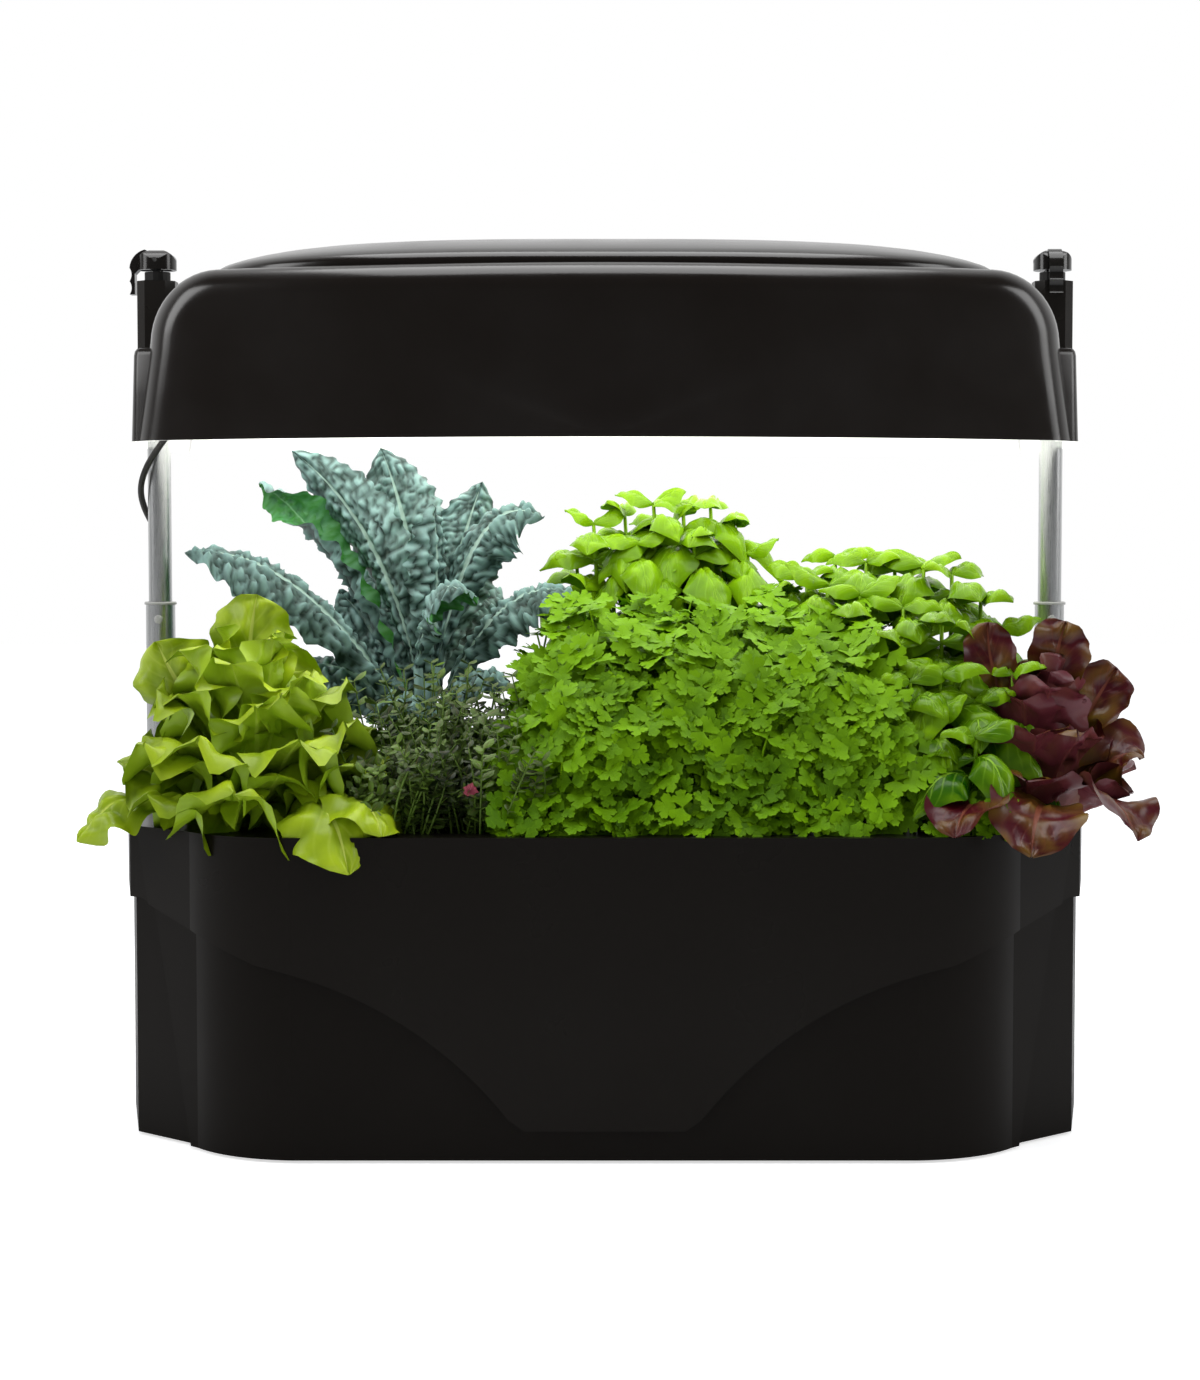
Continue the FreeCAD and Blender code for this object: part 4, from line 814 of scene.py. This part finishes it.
def leaf_material(name, light, deep, vein, underside, gloss=0.45, relief=0.4, specular=0.3, **fine):
    """Living leaf of one kind of plant, with its own underside colour and waxy sheen."""
    material, tree, shader = new_material(name)
    group = put(tree, "ShaderNodeGroup", node_tree=leaf_tissue)
    fill(group, Light=light, Deep=deep, Vein=vein, **fine)
    turned_over = put(tree, "ShaderNodeNewGeometry").outputs["Backfacing"]
    under = blend(tree, 0.6, group.outputs["Colour"], underside)
    feed(tree, blend(tree, turned_over, group.outputs["Colour"], under), shader.inputs["Base Color"])
    feed(tree, maths(tree, "MULTIPLY_ADD", group.outputs["Veins"], 0.15, gloss), shader.inputs["Roughness"])
    fill(shader, Specular_IOR_Level=specular)
    raise_surface(tree, shader, group.outputs["Height"], relief * MM)
    return material


def rounded_leaf(stem, widest, roundness=0.55):
    """Half width along a leaf with a round tip: widest this far along, on a stem this wide."""
    power = math.log(0.5) / math.log(widest)

    def value(share):
        return max(stem * (1 - share), math.sin(math.pi * min(share, 0.9995) ** power) ** roundness)
    return value


def bent_line(root, bend, tip, share):
    """A point on the curve from root to tip that is drawn towards the bend, and its direction."""
    root, bend, tip = Vector(root), Vector(bend), Vector(tip)
    spot = root * (1 - share) ** 2 + bend * 2 * share * (1 - share) + tip * share ** 2
    direction = (bend - root) * (1 - share) + (tip - bend) * share
    return spot, direction.normalized()


def blade(growth, root, bend, tip, width, facing, outline, steps=(24, 8), cup=0.0, ruffle=0.0,
          waves=4.0, blister=0.0, blister_size=7.0, crinkle=0.0, tone=(0.5, 0.5), fade=1.0,
          painted_crevice_shade=0.6, phase=0.0):
    """One leaf as a sheet about a bent midrib, its marks kept for the leaf's colours."""
    points, faces, marks = growth
    start = len(points)
    lengths, halves = steps
    for step in range(lengths + 1):
        share = step / lengths
        spot, direction = bent_line(root, bend, tip, share)
        sideways = direction.cross(Vector(facing)).normalized()
        upward = sideways.cross(direction)
        half = width / 2 * outline(share)
        for number in range(-halves, halves + 1):
            across = number / halves
            swing = math.tau * waves * share + phase + (1.9 if across > 0 else 0.0)
            edge = abs(across) ** 2.2
            reach = across * half * (1 + crinkle * edge * math.sin(swing * 2.3 + phase))
            lift = cup * half * across * across
            lift += ruffle * edge * math.sin(swing) * min(1.0, half * 4 / width)
            place = spot + sideways * reach
            bumps = abs(noise.noise(place / blister_size + Vector((phase, 0, 0)))) if blister else 0.25
            lift += blister * bumps * min(1.0, abs(across) * 6) * (1.3 - edge)
            points.append(place + upward * lift)
            # The third mark is the leaf's tone from base to tip, with painted shade in the blisters'
            # hollows and painted light on their tops.
            marks.append((share, abs(across), tone[1] + (tone[0] - tone[1]) * (1 - share) ** fade
                          + painted_crevice_shade * (bumps - 0.25)))
    across_count = 2 * halves + 1
    for step in range(lengths):
        for number in range(2 * halves):
            corner = start + step * across_count + number
            faces.append((corner, corner + 1, corner + across_count + 1, corner + across_count))


STALK_SIDES = 6


def stalk(growth, root, bend, tip, thick, thin, tone, steps=6):
    """A round stem that tapers along its bent line."""
    points, faces, marks = growth
    own, walls = [], []
    for step in range(steps + 1):
        share = step / steps
        spot, direction = bent_line(root, bend, tip, share)
        aside = direction.orthogonal().normalized()
        other = direction.cross(aside)
        radius = thick + (thin - thick) * share
        add_ring(own, walls, [spot + (aside * x + other * y) * radius for x, y in circle(STALK_SIDES)])
    marks.extend((step / len(own), 0.5, tone) for step in range(len(own)))
    close_ends(own, walls, STALK_SIDES)
    add_part(points, faces, own, walls)


def grow(name, growth, material):
    """The plant's mesh from all its leaves. It stands in the soil."""
    points, faces, marks = growth
    plant = sheet_mesh(name, [tuple(point * MM) for point in points], faces)
    kept = plant.data.color_attributes.new(LEAF_MARKS, "FLOAT_COLOR", "POINT")
    for mark, values in zip(kept.data, marks):
        mark.color = values + (1.0,)
    plant.data.materials.append(material)
    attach(plant, "root")
    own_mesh(plant)


VIEWER = (0.05, -1.0, 0.25)
UP = (0.0, -0.35, 1.0)
kale_outline = rounded_leaf(stem=0.16, widest=0.58, roundness=0.8)
kale_leaves = [
    ((-133, -5, 262), (-215, -25, 392), (-284, -35, 378), 46, (-0.15, -0.5, 0.9)),
    ((-135, 5, 275), (-190, 10, 400), (-239, 5, 426), 36, (-0.75, 0.05, 0.7)),
    ((-128, 5, 285), (-150, 10, 400), (-216, 5, 449), 44, (-0.5, -0.75, 0.4)),
    ((-125, 20, 290), (-132, 40, 390), (-158, 45, 452), 64, VIEWER),
    ((-122, 0, 290), (-112, -5, 370), (-118, -10, 412), 34, (0.7, -0.7, 0.2)),
    ((-118, 15, 290), (-108, 30, 370), (-86, 40, 428), 56, VIEWER),
    ((-116, 0, 300), (-88, -10, 432), (-42, -15, 402), 44, (0.15, -0.6, 0.8)),
    ((-128, -15, 300), (-118, -40, 372), (-94, -62, 352), 48, (0.1, -0.45, 0.9)),
    ((-115, -5, 270), (-70, -20, 372), (-18, -28, 350), 42, (0.2, -0.45, 0.9)),
    ((-135, 0, 250), (-175, 5, 318), (-222, 5, 296), 52, (-0.1, -0.6, 0.8)),
    ((-130, -20, 245), (-134, -55, 305), (-142, -84, 268), 44, UP),
    ((-128, 25, 280), (-150, 60, 370), (-180, 90, 372), 46, (0.0, -0.2, 1.0)),
    ((-120, 25, 280), (-100, 65, 365), (-76, 100, 350), 46, (0.0, -0.2, 1.0)),
    ((-128, 25, 270), (-128, 80, 345), (-130, 125, 325), 48, (0.0, 0.3, 1.0)),
    ((-118, -10, 255), (-92, -38, 318), (-66, -60, 288), 46, UP),
    ((-130, 10, 262), (-160, 20, 330), (-186, 22, 352), 44, (-0.3, -0.6, 0.8))]
growth = ([], [], [])
for number, (root, bend, tip, width, facing) in enumerate(kale_leaves):
    # Kale's blisters get strong painted shade in their hollows and painted light on their tops.
    blade(growth, root, bend, tip, width, facing, kale_outline, steps=(80, 14), cup=-0.75,
          ruffle=3.4, waves=8.0, blister=7.5, blister_size=5.4, crinkle=0.07,
          tone=(0.4, 0.62), painted_crevice_shade=2.1, phase=number * 1.7)
    foot = (-126 + (number % 5 - 2) * 3, (number // 5 - 1) * 5, 190)
    stalk(growth, foot, (-126, 0, 235), root, thick=5.5, thin=3.4, tone=0.8)
kale_leaf = leaf_material("kale_leaf", shade(134, 168, 164), shade(12, 36, 28), shade(176, 204, 192),
                          shade(58, 150, 22), gloss=0.5, relief=0.3, Rib_Width=0.12, Side_Veins=9.0,
                          Slant=0.35, Vein_Strength=0.12, Patches=0.4, Patch_Size=70.0)
grow("kale", growth, kale_leaf)

# Butter lettuce: a loose green head at the front left. Thin, wide, ruffled leaves stand in rings
# round its heart, and two of them hang over the planter's rim.
dice = random.Random(11)
lettuce_outline = rounded_leaf(stem=0.25, widest=0.62)


def lettuce_head(growth, centre, rings, lean, tones, fade, cups, ruffle):
    """Rings of leaves from outside in, each as count, reach, rise and width."""
    for number, (count, reach, rise, width) in enumerate(rings):
        for leaf in range(count):
            swung = math.tau * (leaf + dice.uniform(-0.3, 0.3)) / count + number * 1.3
            out = Vector((math.cos(swung), math.sin(swung), 0.0))
            far = reach * dice.uniform(0.82, 1.08)
            high = rise + dice.uniform(-10, 10)
            root = centre + out * 6 + Vector((0, 0, -38))
            bend = centre + out * far * 0.55 + Vector((0, 0, high * 0.9 - 8)) + lean * 0.5
            tip = centre + out * far + Vector((0, 0, high)) + lean
            facing = Vector((0, 0, 1.0)) * (0.4 + far / 100) - out * (1.0 - far / 160)
            facing += Vector([dice.uniform(-0.35, 0.35) for _ in range(3)])
            blade(growth, root, bend, tip, width * dice.uniform(0.85, 1.1), facing, lettuce_outline,
                  steps=(26, 10), cup=cups[0] + (cups[1] - cups[0]) * far / 100,
                  ruffle=ruffle * dice.uniform(0.8, 1.2), waves=dice.uniform(2.2, 3.4),
                  blister=10.0, blister_size=17.0, crinkle=0.05, tone=tones[number], fade=fade,
                  phase=dice.uniform(0, 6.28))


def outer_leaves(growth, leaves, **form):
    """Leaves placed one by one, each as root, bend, tip, width and the way it faces."""
    for root, bend, tip, width, facing in leaves:
        blade(growth, root, bend, tip, width, facing, lettuce_outline, waves=2.2, phase=tip[0], **form)


growth = ([], [], [])
lettuce_head(growth, Vector((-225.0, -118.0, 238.0)),
             [(11, 94, -8, 76), (10, 84, 22, 74), (9, 66, 46, 66), (7, 48, 64, 58), (5, 26, 80, 50)],
             lean=Vector((-4.0, -6.0, 6.0)),
             tones=[(0.1, 0.5), (0.12, 0.6), (0.15, 0.7), (0.2, 0.8), (0.25, 0.9)],
             fade=1.6, cups=(0.5, -0.55), ruffle=11.5)
outer_leaves(growth, (
        ((-205, -130, 215), (-168, -210, 245), (-158, -214, 182), 66, (0.3, -0.9, 0.5)),
        ((-190, -130, 215), (-145, -190, 240), (-138, -212, 205), 54, (0.6, -0.8, 0.5)),
        ((-265, -130, 215), (-318, -150, 235), (-335, -152, 195), 46, (-0.8, -0.6, 0.5)),
        ((-235, -120, 260), (-230, -118, 330), (-226, -110, 352), 52, (0.1, -1.0, 0.2)),
        ((-250, -115, 255), (-282, -120, 300), (-290, -118, 322), 56, (-0.3, -0.9, 0.3))),
    steps=(28, 12), cup=-0.35, ruffle=7.0, blister=8.0, blister_size=16.0, crinkle=0.05, tone=(0.3, 0.7))
lettuce_leaf = leaf_material("lettuce_leaf", shade(180, 204, 30), shade(66, 100, 2), shade(200, 214, 96),
                             shade(150, 184, 40), gloss=0.36, relief=0.15, Rib_Width=0.1,
                             Side_Veins=6.0, Slant=0.5, Vein_Strength=0.25, Patches=0.7, Patch_Size=40.0)
grow("butter_lettuce", growth, lettuce_leaf)

# Red lettuce: a looser head at the front right, burgundy with yellow-green ribs. Its wide outer
# leaves spread over the planter's end.
growth = ([], [], [])
dice = random.Random(23)
lettuce_head(growth, Vector((278.0, -112.0, 232.0)),
             [(10, 64, -6, 66), (10, 56, 26, 60), (8, 42, 52, 54), (6, 24, 70, 46)],
             lean=Vector((2.0, -4.0, 4.0)), tones=[(0.95, 0.08), (1.0, 0.08), (1.0, 0.1), (1.0, 0.12)],
             fade=3.0, cups=(0.75, 0.35), ruffle=4.0)
outer_leaves(growth, (
        ((262, -140, 212), (224, -186, 238), (216, -210, 204), 50, (-0.3, -0.6, 0.8)),
        ((285, -140, 212), (268, -196, 236), (262, -214, 192), 62, (0.0, -0.75, 0.7)),
        ((300, -130, 215), (322, -170, 240), (332, -190, 200), 54, (0.6, -0.6, 0.6)),
        ((298, -118, 215), (336, -130, 262), (344, -132, 246), 50, (0.6, -0.5, 0.7)),
        ((285, -112, 255), (292, -118, 322), (300, -108, 334), 40, (0.1, -1.0, 0.3)),
        ((268, -112, 255), (246, -112, 312), (250, -104, 334), 34, (-0.2, -1.0, 0.3)),
        ((300, -112, 250), (322, -112, 290), (334, -104, 304), 38, (0.2, -0.9, 0.5))),
    steps=(26, 10), cup=0.3, ruffle=3.6, blister=6.0, blister_size=14.0, crinkle=0.04,
    tone=(1.0, 0.08), fade=3.4)
red_leaf = leaf_material("red_lettuce_leaf", shade(140, 118, 20), shade(70, 12, 22), shade(120, 60, 40),
                         shade(112, 52, 62), gloss=0.3, relief=0.25, Rib_Width=0.12,
                         Side_Veins=7.0, Slant=0.5, Vein_Strength=0.3, Patches=0.35, Patch_Size=45.0)
grow("red_lettuce", growth, red_leaf)

# Parsley: a dense cushion over the middle of the planter. Each stalk carries three flat leaflets with three
# toothed lobes, with painted shade deep inside the cushion and painted light at its top.
dice = random.Random(37)
LOBES = ((-64.0, 0.84), (0.0, 1.0), (64.0, 0.84))
LOBE_EDGE = ((-0.98, 0.5), (-0.78, 0.82), (-0.58, 0.9), (-0.34, 0.86), (0.0, 1.0), (0.34, 0.86),
             (0.58, 0.9), (0.78, 0.82))


def leaflet(growth, foot, ahead, facing, size, tone):
    """A three-lobed toothed leaflet, slightly folded along its middle."""
    points, faces, marks = growth
    aside = ahead.cross(facing).normalized()
    upward = aside.cross(ahead)
    start = len(points)
    points.append(foot + ahead * size * 0.3 + upward * size * 0.04)
    marks.append((0.3, 0.35, tone - 0.12))
    for middle, lobe in LOBES:
        for place, reach in LOBE_EDGE:
            swung = math.radians(middle + 34.0 * place)
            forward = math.cos(swung) * reach * lobe * size * 0.66
            out = math.sin(swung) * reach * lobe * size * 0.72
            points.append(foot + ahead * (size * 0.3 + forward) + aside * out
                          + upward * (abs(out) * 0.25 - 0.1 * forward))
            marks.append((0.4 + 0.5 * reach, abs(out) / size, tone + 0.16 * reach))
    points.append(foot)
    marks.append((0.0, 0.0, tone - 0.2))
    ring = list(range(start + 1, len(points)))
    for first, second in zip(ring, ring[1:] + ring[:1]):
        faces.append((start, first, second))


def cushion(growth, place, count, size, stalk_share, tones):
    """Three leaflets at the end of a stalk, at each of many places over a cushion of leaves."""
    for _ in range(count):
        spot, facing, height = place()
        turned = dice.uniform(0, math.tau)
        astray = Vector((dice.uniform(-0.5, 0.5), dice.uniform(-0.5, 0.5), dice.uniform(-0.3, 0.5)))
        facing = (facing + astray).normalized()
        ahead = facing.orthogonal().normalized()
        ahead = (ahead * math.cos(turned) + facing.cross(ahead) * math.sin(turned)).normalized()
        aside = facing.cross(ahead)
        # The place's brightness sets the tone, with a random spread; over the middle it is painted light
        # and shade.
        tone = tones[0] + (tones[1] - tones[0]) * height + dice.uniform(-0.4, 0.4)
        big = size * dice.uniform(0.75, 1.2)
        leaflet(growth, spot, ahead, facing, big, tone)
        foot = spot - ahead * big * 0.25
        for way in (aside, -aside):
            leaflet(growth, foot, (way + ahead * 0.2).normalized(), facing, big * 0.85, tone)
        if dice.random() < stalk_share:
            low = foot - facing * dice.uniform(18, 40) - Vector((0, 0, 14))
            stalk(growth, low, foot - facing * 10, foot, thick=0.8, thin=0.6, tone=tone, steps=3)


def over_the_middle():
    """A place on or in the cushion's bulging front and top, the way it faces and its brightness, which is
    painted light: higher up is lighter, deeper in is darker.
    """
    x = dice.uniform(-68, 190) if dice.random() < 0.93 else dice.uniform(185, 246)
    edge = min(1.0, (x + 72) / 46, max(0.05, (212 - x) / 34))
    turned = math.radians(dice.triangular(0, 100, 20))
    y = -190 + 165 * (1 - math.cos(turned))
    crest = 118 * edge ** 0.5 * (1.0 + 0.22 * noise.noise(Vector((x, y, 0)) / 42.0))
    z = 204 + (crest + 26) * math.sin(turned) ** 0.85
    depth = dice.triangular(0, 38, 0)
    sideways = noise.noise(Vector((x, y, z)) / 30.0)
    facing = Vector((sideways, -math.cos(turned) - 0.15, math.sin(turned) + 0.25)).normalized()
    height = max(0.0, min(1.0, (z - 225) / 115))
    # Painted light and shade: lighter high on the cushion, darker deep inside it.
    return Vector((x, y, z)) - facing * depth, facing, height * 0.8 + 0.35 - depth / 34


def along_the_front():
    """A place just behind the planter's front rim."""
    facing = Vector((dice.uniform(-0.3, 0.3), -0.8, 0.6)).normalized()
    spot = Vector((dice.uniform(-66, 250), dice.uniform(-196, -172), dice.uniform(204, 226)))
    return spot, facing, dice.uniform(0.1, 0.6)


def over_the_back():
    """A place on the lower cushion over the back half of the planter."""
    x, y = dice.uniform(-225, 240), dice.uniform(-20, 158)
    if x < -60:
        y = dice.uniform(60, 156)
    crest = 42 + 26 * noise.noise(Vector((x, y, 5.0)) / 50.0) + 60 * max(0.0, 1 - (y + 20) / 90)
    facing = Vector((dice.uniform(-0.4, 0.4), 0.5 * (y > 60), 1.0)).normalized()
    return Vector((x, y, 196 + crest * dice.uniform(0.5, 1.0))), facing, dice.uniform(0.1, 0.9)


growth = ([], [], [])
cushion(growth, over_the_middle, count=1250, size=15.5, stalk_share=0.4, tones=(0.1, 0.85))
cushion(growth, along_the_front, count=150, size=14.0, stalk_share=0.8, tones=(0.1, 0.85))
cushion(growth, over_the_back, count=430, size=16.0, stalk_share=0.8, tones=(0.1, 0.75))
parsley_leaf = leaf_material("parsley_leaf", shade(138, 188, 0), shade(12, 50, 0), shade(130, 176, 20),
                             shade(92, 136, 8), gloss=0.5, relief=0.2, specular=0.08, Rib_Width=0.05,
                             Side_Veins=4.0, Slant=0.8, Vein_Strength=0.4, Patches=1.1, Patch_Size=18.0)
grow("parsley", growth, parsley_leaf)

# Basil: two clumps of smooth, cupped, pointed leaves in pairs, one at the back and one at the
# right, on soft upright stems.
dice = random.Random(53)
basil_outline = rounded_leaf(stem=0.06, widest=0.44, roundness=0.85)
PAIR_SPACING = 13.0
LOWER_SPACING = 19.0
LOWEST_PAIR = 222.0


def basil_shoot(growth, top, length, pairs, tone):
    """Pairs of leaves crosswise up a stem, smaller towards its tip."""
    foot = Vector((top.x * 0.97 + 2, top.y + 12, max(192.0, top.z - 150)))
    stalk(growth, foot, (foot + top) / 2 + Vector((4, 0, 6)), top, thick=2.4, thin=1.3, tone=tone)
    start = dice.uniform(0, math.tau)
    for pair in range(pairs):
        level = top - Vector((0, 0, pair * (PAIR_SPACING if pair < 3 else LOWER_SPACING)))
        if level.z < LOWEST_PAIR:
            break
        for opposite in (0, 1):
            swung = start + pair * math.pi / 2 + opposite * math.pi + dice.uniform(-0.35, 0.35)
            out = Vector((math.cos(swung), math.sin(swung), 0.0))
            size = length * min(1.0, 0.62 + 0.22 * pair) * dice.uniform(0.85, 1.15)
            fall = dice.uniform(0.0, 0.95) if pair else dice.uniform(-0.5, 0.1)
            # Painted shade: each pair lower down the stem is darker.
            blade(growth, level, level + out * size * 0.6 + Vector((0, 0, size * (0.42 - fall * 0.2))),
                  level + out * size * (1.0 - 0.25 * abs(fall)) - Vector((0, 0, size * fall)), size * 0.76,
                  Vector((0, -0.3, 1)) + out * 0.6, basil_outline, steps=(14, 6), cup=-0.55, ruffle=0.5,
                  waves=2.0, blister=5.0, blister_size=13.0, phase=swung,
                  tone=(tone - 0.15 - 0.12 * pair, tone + 0.1 - 0.12 * pair + dice.uniform(-0.12, 0.12)))


growth = ([], [], [])
for x, y, z, size in (
        (-20, 40, 372, 44), (-8, 30, 398, 44), (14, 44, 404, 42), (34, 34, 412, 44), (55, 42, 408, 44),
        (74, 36, 410, 44), (92, 44, 396, 42), (100, 30, 376, 44), (22, 20, 384, 46), (62, 22, 388, 46),
        (-14, 20, 352, 46), (44, 60, 398, 44), (84, 62, 380, 44), (4, 62, 380, 44)):
    basil_shoot(growth, Vector((x, y, z)), size, 7, 0.85)
for x, y, z, size in (
        (120, 0, 344, 42), (138, -14, 362, 44), (158, -6, 374, 46), (178, -20, 372, 48),
        (198, -16, 366, 48), (216, -30, 370, 50), (234, -40, 364, 50), (252, -52, 346, 48),
        (170, -60, 350, 48), (198, -72, 342, 50), (222, -84, 332, 52), (246, -88, 320, 52),
        (192, -104, 318, 48), (216, -126, 300, 50), (238, -132, 284, 50), (234, -166, 262, 48),
        (206, -140, 272, 48), (262, -66, 326, 48), (150, -40, 356, 46), (196, -132, 296, 46),
        (222, -150, 246, 44), (264, -120, 300, 44)):
    # Painted light: shoots that reach higher are lighter.
    basil_shoot(growth, Vector((x, y, z)), size, 5, 0.45 + 0.35 * (z - 260) / 130)
basil_leaf = leaf_material("basil_leaf", shade(144, 190, 16), shade(22, 76, 0), shade(142, 188, 40),
                           shade(112, 164, 24), gloss=0.24, relief=0.3, specular=0.2, Rib_Width=0.07,
                           Side_Veins=5.0, Slant=0.55, Vein_Strength=0.5, Patches=0.4, Patch_Size=30.0)
grow("basil", growth, basil_leaf)

# Thyme and oregano: a low tangle of small dark leaves on wiry stems between the lettuce and the
# parsley, with one small flower head.
dice = random.Random(71)
herb_outline = rounded_leaf(stem=0.06, widest=0.5, roundness=0.6)
SPRIGS = 330
SPRIG_PAIRS = 9
PETALS = 14
PETAL_TURN = 2.4


def herb_sprig(growth, foot, tip, leaf_size, tone):
    """A wiry stem with pairs of small leaves."""
    bend = (foot + tip) / 2 + Vector((dice.uniform(-10, 10), dice.uniform(-10, 6), 12))
    stalk(growth, foot, bend, tip, thick=0.8, thin=0.45, tone=0.75, steps=5)
    for pair in range(SPRIG_PAIRS):
        share = 0.2 + 0.8 * pair / (SPRIG_PAIRS - 1)
        spot, direction = bent_line(foot, bend, tip, share)
        turned = pair * math.pi / 2 + dice.uniform(-0.3, 0.3)
        aside = direction.orthogonal().normalized()
        out = aside * math.cos(turned) + direction.cross(aside) * math.sin(turned)
        for way in (out, -out):
            size = leaf_size * dice.uniform(0.7, 1.15)
            end = spot + way * size + direction * size * 0.4
            blade(growth, spot, spot + way * size * 0.5 + direction * size * 0.3, end, size * 0.62,
                  direction + Vector((0, -0.2, 0.3)), herb_outline, steps=(4, 2), cup=-0.3,
                  tone=(tone, tone + dice.uniform(-0.2, 0.3)))


growth = ([], [], [])
for _ in range(SPRIGS):
    x, y = dice.uniform(-150, -44), dice.uniform(-186, -20)
    foot = Vector((x, y, 196.0))
    crest = 262 + 46 * min(1.0, (y + 190) / 90) - 0.0035 * (x + 95) ** 2
    tip = Vector((x + dice.uniform(-26, 26), max(-199.0, y + dice.uniform(-32, 14)),
                  dice.uniform(214, crest)))
    herb_sprig(growth, foot, tip, dice.uniform(6.0, 10.0), dice.uniform(0.0, 0.7))
herb_leaf = leaf_material("herb_leaf", shade(104, 136, 46), shade(14, 32, 4), shade(110, 96, 60),
                          shade(84, 106, 52), gloss=0.42, relief=0.15, Rib_Width=0.12,
                          Side_Veins=4.0, Slant=0.5, Vein_Strength=0.3, Patches=0.9, Patch_Size=60.0)
grow("thyme_and_oregano", growth, herb_leaf)
growth = ([], [], [])
foot = Vector((-84.0, -188.0, 232.0))
for number in range(PETALS):
    swung = number * PETAL_TURN
    out = Vector((math.cos(swung), -0.5, math.sin(swung))).normalized()
    blade(growth, foot, foot + out * 3, foot + out * (3.0 + number * 0.25), 3.0, Vector((0, -1, 0.3)),
          herb_outline, steps=(3, 1), tone=(0.4, 0.8))
flower_pink = leaf_material("flower_petal", shade(200, 90, 110), shade(120, 40, 60), shade(220, 150, 160),
                            shade(180, 80, 100), gloss=0.6, relief=0.05, Rib_Width=0.1,
                            Side_Veins=2.0, Slant=0.2, Vein_Strength=0.2, Patches=0.3, Patch_Size=80.0)
grow("herb_flower", growth, flower_pink)
